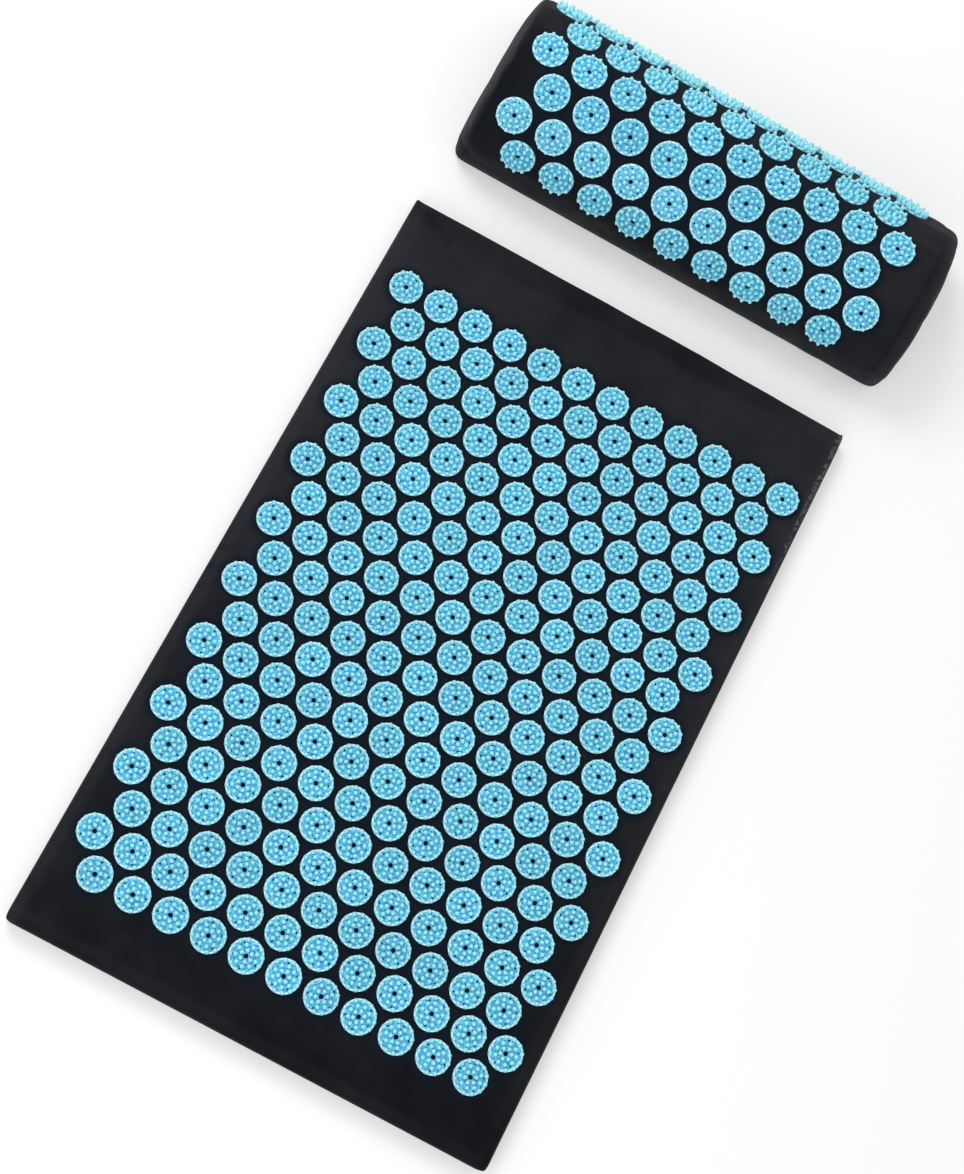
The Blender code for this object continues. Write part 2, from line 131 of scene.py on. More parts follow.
def outwards(piece):
    with editing(piece):
        bpy.ops.mesh.normals_make_consistent(inside=False)


def inFixedOrder(piece):
    # extruding numbers its new points differently each run, and cloth then puffs up differently
    cursor = bpy.context.scene.cursor
    cursor.location = (0.613, -0.717, 0.329)
    with editing(piece):
        bpy.ops.mesh.sort_elements(type="CURSOR_DISTANCE", elements={"VERT", "EDGE", "FACE"})
    cursor.location = (0, 0, 0)


def smoothUnder(piece, degrees):
    hold(piece)
    bpy.ops.object.shade_smooth_by_angle(angle=math.radians(degrees))


def copyOf(piece, name, place=None):
    made = piece.copy()
    made.data = piece.data.copy()
    made.name = name
    made.data.name = name
    bpy.context.scene.collection.objects.link(made)
    if place is not None:
        made.matrix_world = place
    return made


def joinAll(parts, name):
    clearPick()
    for part in parts:
        part.select_set(True)
    bpy.context.view_layer.objects.active = parts[0]
    if len(parts) > 1:
        bpy.ops.object.join()
    return settle(named(name))


def setPaint(piece, material):
    piece.data.materials.clear()
    piece.data.materials.append(material)


def writeValues(piece, name, values):
    layer = piece.data.attributes.get(name) or piece.data.attributes.new(name, "FLOAT", "POINT")
    layer.data.foreach_set("value", values)


def discard(piece):
    mesh = piece.data
    bpy.data.objects.remove(piece, do_unlink=True)
    bpy.data.meshes.remove(mesh)


def plugAll(tree, step, inputs):
    # each input gets a number, a colour or another node's output
    for key, value in inputs.items():
        if isinstance(value, bpy.types.NodeSocket):
            tree.links.new(value, step.inputs[key])
        else:
            step.inputs[key].default_value = value


def addNode(tree, kind, inputs=None, **settings):
    step = tree.nodes.new(kind)
    for key, value in settings.items():
        setattr(step, key, value)
    plugAll(tree, step, inputs or {})
    return step


def newMaterial(name):
    material = bpy.data.materials.new(name)
    material.use_nodes = True
    return material, material.node_tree, material.node_tree.nodes["Principled BSDF"]


def placeIn(tree):
    return addNode(tree, "ShaderNodeTexCoord").outputs["Object"]


def clothPlace(tree):
    # the place on the cloth laid flat, and its two parts, in metres
    flat = addNode(tree, "ShaderNodeUVMap", uv_map="cloth").outputs["UV"]
    parts = addNode(tree, "ShaderNodeSeparateXYZ", {"Vector": flat}).outputs
    return flat, parts["X"], parts["Y"]


def pieceValue(tree, name):
    return addNode(tree, "ShaderNodeAttribute", attribute_name=name).outputs["Fac"]


def join(tree, operation, *values):
    return addNode(tree, "ShaderNodeMath", dict(enumerate(values)), operation=operation).outputs[0]


def mixed(tree, share, first, second):
    return addNode(tree, "ShaderNodeMix", {0: share, 6: first, 7: second}, data_type="RGBA").outputs[2]


def spread(tree, value, low, high, newLow=0.0, newHigh=1.0):
    # goes softly from newLow to newHigh while the value goes from low to high
    ends = {"Value": value, "From Min": low, "From Max": high, "To Min": newLow, "To Max": newHigh}
    return addNode(tree, "ShaderNodeMapRange", ends, interpolation_type="SMOOTHSTEP").outputs["Result"]


def grain(tree, vector, size, detail=3.0, rough=0.55):
    inputs = {"Vector": vector, "Scale": size, "Detail": detail, "Roughness": rough}
    return addNode(tree, "ShaderNodeTexNoise", inputs).outputs["Fac"]


def patch(tree, vector, size, detail, *ends):
    return spread(tree, grain(tree, vector, size, detail), *ends)


def raised(tree, height, strength, depth, before=None):
    inputs = {"Height": height, "Strength": strength, "Distance": depth}
    if before:
        inputs["Normal"] = before
    return addNode(tree, "ShaderNodeBump", inputs).outputs["Normal"]


def pitted(tree, vector, size, detail, strength, depth):
    return raised(tree, grain(tree, vector, size, detail), strength, depth)


viewLook = {
    "cameraPlace": (-0.1000, -0.4844, 1.6728),
    "cameraTurn": (11.780, -9.955, 27.626),
    "lens": 63.72,
    "sensor": 36,
    "sees": (0.05, 40),
    "skyLight": 0.60,
    # place, size and power of each lamp
    "keyLamp": ((-1.15, 0.95, 1.75), 1.1, 17.0),
    "fillLamp": ((-0.3, -1.5, 1.3), 1.4, 9.2),
    "floorColour": (0.72, 0.72, 0.72, 1),
    "floorRough": 0.9,
    # from and to a distance, and the glow there; only the camera sees it, so that the floor reads white
    "floorGlow": (0.9, 3.2, 0.34, 0.58),
    "floorSize": 60.0,
    "floorDrop": 0.0004,
}


def addCamera():
    turn = [math.radians(a) for a in viewLook["cameraTurn"]]
    bpy.ops.object.camera_add(location=viewLook["cameraPlace"], rotation=turn)
    camera = bpy.context.active_object
    camera.name = "camera"
    camera.data.lens = viewLook["lens"]
    camera.data.sensor_width = viewLook["sensor"]
    camera.data.clip_start, camera.data.clip_end = viewLook["sees"]
    bpy.context.scene.camera = camera


def addLamp(name):
    place, size, power = viewLook[name]
    bpy.ops.object.light_add(type="AREA", location=place)
    lamp = bpy.context.active_object
    lamp.name = name
    lamp.data.shape = "DISK"
    lamp.data.size = size
    lamp.data.energy = power
    lamp.rotation_euler = (-Vector(place)).to_track_quat("-Z", "Y").to_euler()


def whiteToCamera(tree, away):
    # 1 for what the camera, a gloss or glass sees, and the given level for all other light
    path = addNode(tree, "ShaderNodeLightPath").outputs
    seen = join(tree, "MAXIMUM", path["Is Camera Ray"], path["Is Glossy Ray"])
    seen = join(tree, "MAXIMUM", seen, path["Is Transmission Ray"])
    return join(tree, "MULTIPLY_ADD", seen, 1 - away, away)


def addSky():
    bpy.context.scene.view_settings.view_transform = "Standard"
    world = bpy.data.worlds.new("studio")
    bpy.context.scene.world = world
    world.use_nodes = True
    tree = world.node_tree
    light = whiteToCamera(tree, viewLook["skyLight"])
    plugAll(tree, tree.nodes["Background"], {"Color": (1, 1, 1, 1), "Strength": light})


def addFloor():
    look = viewLook
    bpy.ops.mesh.primitive_plane_add(size=look["floorSize"], location=(0, 0, -look["floorDrop"]))
    floor = settle(named("floor"))
    material, tree, shader = newMaterial("paleFloor")
    away = addNode(tree, "ShaderNodeVectorMath", {0: placeIn(tree)}, operation="LENGTH")
    glow = spread(tree, away.outputs["Value"], *look["floorGlow"])
    plugAll(tree, shader, {
        "Base Color": look["floorColour"],
        "Roughness": look["floorRough"],
        "Specular IOR Level": 0.0,
        "Emission Color": (1, 1, 1, 1),
        "Emission Strength": join(tree, "MULTIPLY", whiteToCamera(tree, 0), glow),
    })
    setPaint(floor, material)


# In the looks below a patch is grain size, detail, and from where to where it counts, at times
# followed by the values there; a relief is grain size, detail, strength and depth.
cottonLook = {
    # the cloth goes from the deep to the pale colour with a random cloud, and with an attribute that
    # carries painted highlights and painted shade
    "deep": (0.0022, 0.0026, 0.0042, 1),
    "pale": (0.0205, 0.0216, 0.0268, 1),
    # the colour of a painted glint on the cloth's edge
    "wearAndGlint": (0.105, 0.102, 0.098, 1),
    "lintColour": (0.060, 0.060, 0.060, 1),
    "betweenDiscs": (0.0032, 0.0074, 0.0160, 1),  # in the discs' shade, and lit by their blue
    "shadeFrom": 0.0015,
    "shadeWidth": 0.0055,
    "wornPatch": (11, 4, 0.36, 0.68),
    "wornShare": 0.26,
    # where on the cloth the painted glint sets in, and how patchy it is
    "edgeGlint": (1.05, 2.2),
    "wearAndGlintPatch": (330, 4, 0.40, 0.62),
    "fibres": (((90, 900, 1), 0.7), ((1000, 110, 1), 0.3)),  # lint hairs: stretch and turn
    "lintNeeded": (0.74, 0.77),
    "lintPatch": (24, 2, 0.52, 0.66),
    "threadWidth": 0.00040,
    "threadFuzz": (2600, 2),
    "fuzzShare": 1.2,
    "threadRelief": (0.55, 0.00010),
    "crumple": (42, 3, 0.5),
    "crumpleRelief": (0.45, 0.0009),
    "roughPatch": (30, 2, 0.3, 0.7, 0.82, 0.96),
    "shine": 0.14,
    "sheen": 0.12,
    "sheenRough": 0.45,
    "sheenTint": (0.55, 0.58, 0.65, 1),
}


def makeCotton():
    look = cottonLook
    material, tree, shader = newMaterial("blackCotton")
    place = placeIn(tree)
    flat, across, along = clothPlace(tree)

    # the attribute read here carries painted highlights and painted shade, on top of a random cloud
    paleness = pieceValue(tree, "paleness")
    pale = join(tree, "MULTIPLY_ADD", patch(tree, place, *look["wornPatch"]), look["wornShare"], paleness)
    colour = mixed(tree, pale, look["deep"], look["pale"])
    # where the attribute runs highest, the cloth takes the painted glint colour
    wearAndGlint = spread(tree, paleness, *look["edgeGlint"])
    wearAndGlint = join(tree, "MULTIPLY", wearAndGlint, patch(tree, place, *look["wearAndGlintPatch"]))
    colour = mixed(tree, wearAndGlint, colour, look["wearAndGlint"])
    colour = mixed(tree, pieceValue(tree, "nearDisc"), colour, look["betweenDiscs"])

    hairs = []
    for size, turn in look["fibres"]:
        inputs = {"Vector": flat, "Scale": size, "Rotation": (0, 0, turn)}
        stretched = addNode(tree, "ShaderNodeMapping", inputs).outputs["Vector"]
        hairs.append(grain(tree, stretched, 1.0, 2))
    hair = spread(tree, join(tree, "MAXIMUM", *hairs), *look["lintNeeded"])
    hair = join(tree, "MULTIPLY", hair, patch(tree, place, *look["lintPatch"]))

    turn = math.pi / look["threadWidth"]
    warp, weft = [join(tree, "SINE", join(tree, "MULTIPLY", way, turn)) for way in (across, along)]
    fuzz = join(tree, "MULTIPLY", grain(tree, flat, *look["threadFuzz"]), look["fuzzShare"])
    weave = join(tree, "ADD", join(tree, "MULTIPLY", warp, weft), fuzz)
    normal = raised(tree, weave, *look["threadRelief"])
    crumple = grain(tree, place, *look["crumple"])
    plugAll(tree, shader, {
        "Base Color": mixed(tree, hair, colour, look["lintColour"]),
        "Normal": raised(tree, crumple, *look["crumpleRelief"], normal),
        "Roughness": patch(tree, place, *look["roughPatch"]),
        "Specular IOR Level": look["shine"],
        "Sheen Weight": look["sheen"],
        "Sheen Roughness": look["sheenRough"],
        "Sheen Tint": look["sheenTint"],
    })
    return material


plasticLook = {
    # painted shade: the darkest blue, at the spikes' feet and in clouds low down between them
    "lowShade": (0.020, 0.310, 0.540, 1),
    "floor": (0.205, 0.690, 0.955, 1),
    "side": (0.320, 0.890, 0.998, 1),
    "tip": (0.440, 0.945, 0.999, 1),
    "rim": (0.760, 0.955, 0.992, 1),
    # where each colour sets in along "rise", which oneDisc writes: footRise, floorRise, up to 1 at a
    # spike's point, and rimRise. The spikes are painted lighter up their sides and at their points, and
    # the rim near white, as painted highlights.
    "ramps": {"floor": (-0.14, -0.08), "side": (-0.08, 0.20), "tip": (0.28, 0.85), "rim": (1.05, 1.40)},
    "footRise": -0.14,
    "floorRise": -0.08,
    "rimRise": 1.5,
    # darker clouds low down, where the light gets lost between the spikes
    "cloudPatch": (520, 2, 0.44, 0.60),
    "cloudRise": (0.60, -0.05),
    "cloudShare": 0.85,
    "toneDrift": (160, 2),
    "toneShare": 0.10,
    "toneRange": (-0.15, 0.25, 0.94, 1.06),
    "roughPatch": (700, 3, 0.35, 0.75, 0.24, 0.46),
    "relief": (900, 2, 0.15, 0.00008),
    "shine": 0.5,
}


def makePlastic():
    look = plasticLook
    material, tree, shader = newMaterial("skyBluePlastic")
    rise = pieceValue(tree, "rise")
    tone = pieceValue(tree, "tone")
    place = placeIn(tree)

    def ramp(part, colour):
        return mixed(tree, spread(tree, rise, *look["ramps"][part]), colour, look[part])

    # painted light on the plastic: painted shade at the spikes' feet, sides and points painted lighter,
    # and a painted highlight on the rim
    colour = ramp("side", ramp("floor", look["lowShade"]))
    low = spread(tree, rise, *look["cloudRise"])
    low = join(tree, "MULTIPLY", patch(tree, place, *look["cloudPatch"]), low)
    colour = mixed(tree, join(tree, "MULTIPLY", low, look["cloudShare"]), colour, look["lowShade"])
    colour = ramp("rim", ramp("tip", colour))
    tone = join(tree, "MULTIPLY_ADD", grain(tree, place, *look["toneDrift"]), look["toneShare"], tone)
    inputs = {"Color": colour, "Value": spread(tree, tone, *look["toneRange"])}
    plugAll(tree, shader, {
        "Base Color": addNode(tree, "ShaderNodeHueSaturation", inputs).outputs["Color"],
        "Roughness": patch(tree, place, *look["roughPatch"]),
        "Normal": pitted(tree, place, *look["relief"]),
        "Specular IOR Level": look["shine"],
    })
    return material


foamLook = {
    "colours": ((0.62, 0.60, 0.53, 1), (0.84, 0.82, 0.76, 1)),
    "cells": 900,
    "pores": (0.1, 0.6),
    "relief": (0.6, 0.0003),
    "rough": 0.95,
    "sheen": 0.2,
}


def makeFoam():
    material, tree, shader = newMaterial("whiteFoam")
    inputs = {"Vector": placeIn(tree), "Scale": foamLook["cells"]}
    cells = addNode(tree, "ShaderNodeTexVoronoi", inputs).outputs["Distance"]
    pores = spread(tree, cells, *foamLook["pores"])
    plugAll(tree, shader, {
        "Base Color": mixed(tree, pores, *foamLook["colours"]),
        "Normal": raised(tree, pores, *foamLook["relief"]),
        "Roughness": foamLook["rough"],
        "Sheen Weight": foamLook["sheen"],
    })
    return material


nylonLook = {
    "colours": ((0.010, 0.010, 0.012, 1), (0.020, 0.020, 0.023, 1)),
    "patch": (400, 2, 0.3, 0.7),
    "rough": (0, 1, 0.32, 0.50),
    "relief": (2500, 2, 0.2, 0.00006),
}


def makeNylon():
    material, tree, shader = newMaterial("blackNylon")
    place = placeIn(tree)
    drift = patch(tree, place, *nylonLook["patch"])
    plugAll(tree, shader, {
        "Base Color": mixed(tree, drift, *nylonLook["colours"]),
        "Roughness": spread(tree, drift, *nylonLook["rough"]),
        "Normal": pitted(tree, place, *nylonLook["relief"]),
    })
    return material


tapeLook = {
    "colours": ((0.008, 0.008, 0.010, 1), (0.018, 0.018, 0.021, 1)),
    "ribs": 5200,
    "relief": (0.5, 0.00012),
    "rough": 0.88,
    "shine": 0.2,
}


def makeTape():
    material, tree, shader = newMaterial("zipTapeWeave")
    flat, across, along = clothPlace(tree)
    slant = join(tree, "ADD", across, along)
    rib = join(tree, "SINE", join(tree, "MULTIPLY", slant, tapeLook["ribs"]))
    plugAll(tree, shader, {
        "Base Color": mixed(tree, spread(tree, rib, -1, 1), *tapeLook["colours"]),
        "Normal": raised(tree, rib, *tapeLook["relief"]),
        "Roughness": tapeLook["rough"],
        "Specular IOR Level": tapeLook["shine"],
    })
    return material


metalLook = {
    "colours": ((0.024, 0.024, 0.027, 1), (0.070, 0.069, 0.068, 1)),
    "wearAndGlintPatch": (700, 4, 0.42, 0.78),
    "roughPatch": (900, 3, 0.3, 0.7, 0.26, 0.46),
    "relief": (1500, 2, 0.12, 0.00005),
    "metallic": 0.85,
}


def makeMetal():
    material, tree, shader = newMaterial("blackenedMetal")
    place = placeIn(tree)
    wearAndGlint = patch(tree, place, *metalLook["wearAndGlintPatch"])
    plugAll(tree, shader, {
        "Base Color": mixed(tree, wearAndGlint, *metalLook["colours"]),
        "Roughness": patch(tree, place, *metalLook["roughPatch"]),
        "Normal": pitted(tree, place, *metalLook["relief"]),
        "Metallic": metalLook["metallic"],
    })
    return material


threadLook = {
    "colours": ((0.012, 0.012, 0.014, 1), (0.026, 0.026, 0.030, 1)),
    "ply": (2000, 1),
    "turns": 40,
    "relief": (0.4, 0.0001),
    "rough": 0.6,
}


def makeThread():
    material, tree, shader = newMaterial("blackThread")
    twist = grain(tree, placeIn(tree), *threadLook["ply"])
    ply = join(tree, "SINE", join(tree, "MULTIPLY", twist, threadLook["turns"]))
    plugAll(tree, shader, {
        "Base Color": mixed(tree, spread(tree, ply, -1, 1), *threadLook["colours"]),
        "Normal": raised(tree, ply, *threadLook["relief"]),
        "Roughness": threadLook["rough"],
    })
    return material


discLook = {
    "sides": 36,
    "plate": 0.0015,
    "lipWidth": 0.0013,
    "lipDepth": 0.00045,
    "lipSlope": 0.0004,
    "edgeCut": 0.0003,
    "bossRadius": 0.0033,
    "bossRise": 0.00035,
    "centreHole": 0.00200,
    "centreSides": 16,
    "smallHole": 0.00095,
    "smallSides": 8,
    "smallHoleAt": 0.75,
    "smallHoleTurn": 0.3,
    "smallHoles": 5,
    "drillLength": 0.02,
    "spikeSides": 6,
    "spikeFoot": 0.00225,
    "spikeWaist": 0.00178,
    "spikeWaistAt": 0.0026,
    "spikeNeck": 0.00086,
    "spikeNeckAt": 0.0043,
    "spikeHeight": 0.0042,
    "spikeSunk": 0.0006,
    # how many spikes a ring has, how far out it lies, where it starts, how far its spikes lean
    "rings": ((6, 0.32, 0.0, 0.0), (9, 0.60, 0.2, 0.0), (12, 0.885, 0.1, 5.0)),
    "toneSpread": 0.08,
    "smooth": 38,
}


def oneSpike():
    # a thorn: wide foot, waist, point
    look = discLook
    foot = look["plate"] - look["spikeSunk"]
    waist = look["spikeWaistAt"]
    bpy.ops.mesh.primitive_cone_add(
        vertices=look["spikeSides"],
        radius1=look["spikeFoot"],
        radius2=look["spikeWaist"],
        depth=waist,
        location=(0, 0, foot + waist / 2),
    )
    spike = settle(named("spike"))
    neck = look["spikeNeckAt"]
    share = look["spikeNeck"] / look["spikeWaist"]
    tip = look["plate"] + look["spikeHeight"] - foot
    with editing(spike, "FACE", lambda at, normal: normal.z > 0.9):
        extrude(0, 0, neck - waist)
        scalePick((share, share, 1), (0, 0, 0))
        extrude(0, 0, tip - neck)
        bpy.ops.mesh.merge(type="CENTER")
    return spike


def oneDisc(name, diameter):
    look = discLook
    radius = diameter / 2
    plate = look["plate"]
    slope = look["lipSlope"]
    disc = rod(name, look["sides"], radius, plate, (0, 0, plate / 2))
    with editing(disc, "EDGE", lambda a, b: min(a.z, b.z) > plate / 2):
        bpy.ops.mesh.bevel(offset=look["edgeCut"], segments=1)
    with editing(disc, "FACE", lambda at, normal: normal.z > 0.9 and at.to_2d().length < radius / 2):
        bpy.ops.mesh.inset(thickness=look["lipWidth"] - look["edgeCut"], depth=0)
        bpy.ops.mesh.inset(thickness=slope, depth=-look["lipDepth"])
        floorRadius = radius - look["lipWidth"] - slope
        bpy.ops.mesh.inset(thickness=floorRadius - look["bossRadius"] - slope, depth=0)
        bpy.ops.mesh.inset(thickness=slope, depth=look["bossRise"])

    drills = [rod("drill", look["centreSides"], look["centreHole"], look["drillLength"])]
    for n in range(look["smallHoles"]):
        turn = (n + look["smallHoleTurn"]) * math.tau / look["smallHoles"]
        away = radius * look["smallHoleAt"]
        place = (away * math.cos(turn), away * math.sin(turn), 0)
        drills.append(rod("drill", look["smallSides"], look["smallHole"], look["drillLength"], place))
    drill = joinAll(drills, "drill")
    giveStep(disc, "BOOLEAN", operation="DIFFERENCE", solver="EXACT", object=drill)
    discard(drill)

    plateCount = len(disc.data.vertices)
    spike = oneSpike()
    parts = [disc]
    for count, share, start, lean in look["rings"]:
        for n in range(count):
            place = Matrix.Rotation(start + n * math.tau / count, 4, "Z")
            place = place @ Matrix.Translation((radius * share, 0, 0))
            place = place @ Matrix.Rotation(math.radians(lean), 4, "Y")
            parts.append(copyOf(spike, "spikeCopy", place))
    discard(spike)
    disc = joinAll(parts, name)

    def riseAt(point):
        rise = (point.co.z - plate) / look["spikeHeight"]
        if rise >= 0.1:
            return rise
        onTop = point.co.z > plate / 2
        # the rim's top is marked for the painted rim highlight
        if onTop and point.co.to_2d().length > radius - look["lipWidth"] - 0.0001:
            return plasticLook["rimRise"]
        if point.index < plateCount:
            return plasticLook["floorRise"] if onTop else plasticLook["footRise"]
        return rise

    writeValues(disc, "rise", [riseAt(point) for point in disc.data.vertices])
    smoothUnder(disc, look["smooth"])
    return disc


def discRow(source, name, places, seed):
    # copies of the disc, each turned its own way, joined into one row
    chance = random.Random(seed)
    most = discLook["toneSpread"]
    parts = []
    for place in places:
        turn = Matrix.Rotation(chance.uniform(0, math.tau), 4, "Z")
        part = copyOf(source, "discCopy", place @ turn)
        writeValues(part, "tone", [chance.uniform(-most, most)] * len(part.data.vertices))
        parts.append(part)
    return joinAll(parts, name)


def smoothstep(value):
    value = min(max(value, 0.0), 1.0)
    return value * value * (3 - 2 * value)


def bell(value, width):
    return math.exp(-(value / width) ** 2)


def streak(value, amount, middle, width):
    # a soft line of the given strength, where the value is near the middle
    return amount * bell(value - middle, width)


def ruffle(place, rise, across, along, seed):
    # soft random waves of the given rise, so many across and so many along
    return rise * noise.noise(Vector((place.x * across, place.y * along, seed)))


def between(value, stops, results):
    # straight-line reading between the given stops
    if value <= stops[0]:
        return results[0]
    for n in range(1, len(stops)):
        if value <= stops[n]:
            share = (value - stops[n - 1]) / (stops[n] - stops[n - 1])
            return results[n - 1] + share * (results[n] - results[n - 1])
    return results[-1]


def layCloth(piece, unroll):
    # a UV map in metres for the weave
    layer = piece.data.uv_layers.get("cloth") or piece.data.uv_layers.new(name="cloth")
    points = piece.data.vertices
    flat = []
    for face in piece.data.polygons:
        for n in face.vertices:
            flat.extend(unroll(points[n].co, face.normal))
    layer.data.foreach_set("uv", flat)


def shadeNearDiscs(piece, centres, radius, unroll):
    # 1 under and right beside a disc, 0 from a few millimetres away on
    tree = kdtree.KDTree(len(centres))
    for n, (x, y) in enumerate(centres):
        tree.insert((x, y, 0), n)
    tree.balance()
    shade = []
    for point in piece.data.vertices:
        at = unroll(point.co)
        away = tree.find((at[0], at[1], 0))[2] - radius if at else 1
        shade.append(1 - smoothstep((away - cottonLook["shadeFrom"]) / cottonLook["shadeWidth"]))
    writeValues(piece, "nearDisc", shade)


clothLook = {
    "frames": 20,
    "pressure": 3.0,
    "most": 0.0018,
    "settings": {
        "quality": 6,
        "mass": 0.25,
        "tension_stiffness": 12,
        "compression_stiffness": 6,
        "shear_stiffness": 4,
        "bending_stiffness": 0.15,
        "vertex_group_mass": "held",
        "use_pressure": True,
    },
}


def puffUp(piece, free, growth):
    # inflates the free cloth a little, as stuffing does; free gives 0 for held and 1 for loose
    start = [point.co.copy() for point in piece.data.vertices]
    group = piece.vertex_groups.new(name="held")
    for n, place in enumerate(start):
        group.add([n], 1 - free(place), "REPLACE")
    hold(piece)
    step = piece.modifiers.new("Cloth", "CLOTH")
    for key, value in clothLook["settings"].items():
        setattr(step.settings, key, value)
    step.settings.shrink_min = -growth
    step.settings.uniform_pressure_force = clothLook["pressure"]
    step.settings.effector_weights.gravity = 0
    step.point_cache.frame_start = 1
    step.point_cache.frame_end = clothLook["frames"]
    scene = bpy.context.scene
    for number in range(1, clothLook["frames"] + 1):
        scene.frame_set(number)
    bpy.ops.object.modifier_apply(modifier="Cloth")
    scene.frame_set(1)
    piece.vertex_groups.clear()
    most = clothLook["most"]
    for n, point in enumerate(piece.data.vertices):
        moved = point.co - start[n]
        if moved.length > most:
            point.co = start[n] + moved * (most / moved.length)


def cutPocket(depth, rim):
    # sinks the picked faces of a wall, with a sharp lip, for a zip to lie in
    bpy.ops.mesh.inset(thickness=rim, depth=0)
    extrude(0, -zipLook["lip"], 0)
    extrude(0, zipLook["lip"] - depth, 0)


matLook = {
    "cellsAcross": 70,
    "cellsAlong": 114,
    "wallLevels": (0.0, 0.0022, 0.0040, 0.0123, 0.0142, 0.0155),
    "tightRows": (0, 0.0022, 0.0062, 0.0125, 0.0245),
    "near": 0.0005,  # what still counts as on an edge
    "edgeRound": 0.0045,
    "headRound": 0.0016,
    "footCorner": 0.0045,
    "headCorner": 0.0035,
    "seamRise": 0.0005,
    "baseInset": 0.0012,
    # the pucker beyond the foam's end: share of the width from the left, way in from the edge, strength
    "pucker": (
        (0.00, 0.0150, 0.25),
        (0.07, 0.0150, 0.90),
        (0.17, 0.0178, 0.55),
        (0.27, 0.0200, 1.00),
        (0.38, 0.0172, 0.90),
        (0.50, 0.0150, 0.50),
        (0.61, 0.0135, 0.70),
        (0.80, 0.0133, 0.62),
        (0.88, 0.0136, 0.20),
        (1.00, 0.0140, 0.05),
    ),
    "fieldEdge": 0.0030,
    "growth": 0.020,
    # the cloth is held below this height, and let loose from here on and over that run
    "heldBelow": 0.013,
    "heldPucker": (0, 0.004),
    "heldEdge": (0.003, 0.010),
    # rise, waves across and along a metre, seed
    "gather": (0.0009, 95, 30, 7.7),
    "wave": (0.0007, 22, 22, 1.3),
    "fineGather": (0.0008, 130, 22, 4.2),
    "ripple": (0.00035, 60, 60, 9.1),
    # how deep, then the middle and the half width, counted from the pucker, the fold or an edge
    "puckerSink": 0.0016,
    "puckerLine": (0, 0.0045),
    "gatherLine": (-0.002, 0.014),
    "fineSink": 0.0012,
    "fineLine": (0, 0.0022),
    "fineGatherLine": (-0.001, 0.009),
    "foldLine": (-0.0008, 0, 0.006),
    "flapDrop": 0.0020,
    "flapRun": (-0.003, 0.016),
    "topBand": 0.006,
    "flapBand": 0.007,
    "wallRun": (-0.001, 0.005),
    # the cloth's top sinks no deeper than this, but more in the last stretch before a wall
    "mostSink": 0.0042,
    "wallSink": 0.012,
    "wallSinkRun": (0, 0.008),
    # how pale the cloth is: at the foot, more at the head, towards the left, and towards both sides
    "paleBase": (0.04, 0.44, 0.12, 0.26),
    # painted light: a lighter strip just inside the left edge, on the edge's rounding
    "leftLitStrip": (0.45, 0.007, 0.0045),
    # a painted highlight along the rounded right and foot edges
    "edgeHighlight": (0.22, 0.005, 0.004),
    # a painted glint beside the right edge towards the head, in patches
    "edgeGlint": (2.4, 0.0026, 0.0021),
    "glintRun": (0.72, 0.16),
    "glintPatches": (0.8, 0.7, 60),
    # painted shade along the pucker, in patches
    "puckerShade": (0.48, -0.0005, 0.0026),
    "puckerPatches": (0.80, 0.9, 34),
    # beyond the pucker: painted shade towards the left on the flap sloping away, and lighter towards the
    # right
    "beyondRun": (0, 0.004),
    "beyondLeft": (0.26, 0.62, 0.3),
    "beyondRight": (0.30, 0.75, 0.2),
    # painted shade in the creases, by their depth
    "creaseShade": 150,
    "smooth": 60,
    "foldReach": 0.013,
    "foldRows": 7,
    "foldStep": 0.0019,
    # how far each edge drifts from a true oblong, at its foot or left end and at its other end
    "leftDrift": (0.0009, -0.0012),
    "rightDrift": (0.0040, 0.0006),
    "footDrift": (-0.0045, -0.0018),
    "headDrift": (-0.0006, 0.0033),
    "headBow": 0.0021,
    "headDriftRun": (0.0125, 0.004),
    # creases: x and y from and to (y is counted from the head edge), half width, depth
    "creases": (
        (-0.206, -0.006, -0.168, -0.024, 0.0034, 0.0014),
        (-0.209, -0.019, -0.182, -0.030, 0.0030, 0.0010),
        (0.204, -0.005, 0.186, -0.019, 0.0030, 0.0010),
        (-0.168, -0.024, -0.090, -0.0205, 0.0030, 0.0008),
        (0.060, -0.020, 0.150, -0.0235, 0.0030, 0.0008),
        (-0.211, -0.352, -0.188, -0.346, 0.0024, 0.0016),
        (-0.211, -0.372, -0.192, -0.362, 0.0020, 0.0012),
        (-0.211, -0.388, -0.194, -0.384, 0.0022, 0.0010),
        (0.211, -0.356, 0.196, -0.350, 0.0024, 0.0012),
        (-0.209, -0.560, -0.196, -0.520, 0.0030, 0.0008),
        (-0.206, -0.655, -0.190, -0.668, 0.0030, 0.0012),
        (0.206, -0.655, 0.192, -0.668, 0.0030, 0.0012),
        (-0.150, -0.672, 0.140, -0.673, 0.0024, 0.0007),
    ),
    # the foam keeps this far inside its solid, at its low and its high corner
    "foamLow": (0.002, 0.002, 0.0004),
    "foamHigh": (0.002, 0.0060, 0.0038),
    "foamCorner": 0.0060,
    "foamEdge": 0.0050,
    "foamSmooth": 40,
}


def rising(value, start, run):
    return smoothstep((value - start) / run)


def roundedOff(away, radius):
    # height of a rounded edge this far in from where it starts
    away = min(away, radius)
    return math.sqrt(radius ** 2 - (radius - away) ** 2)


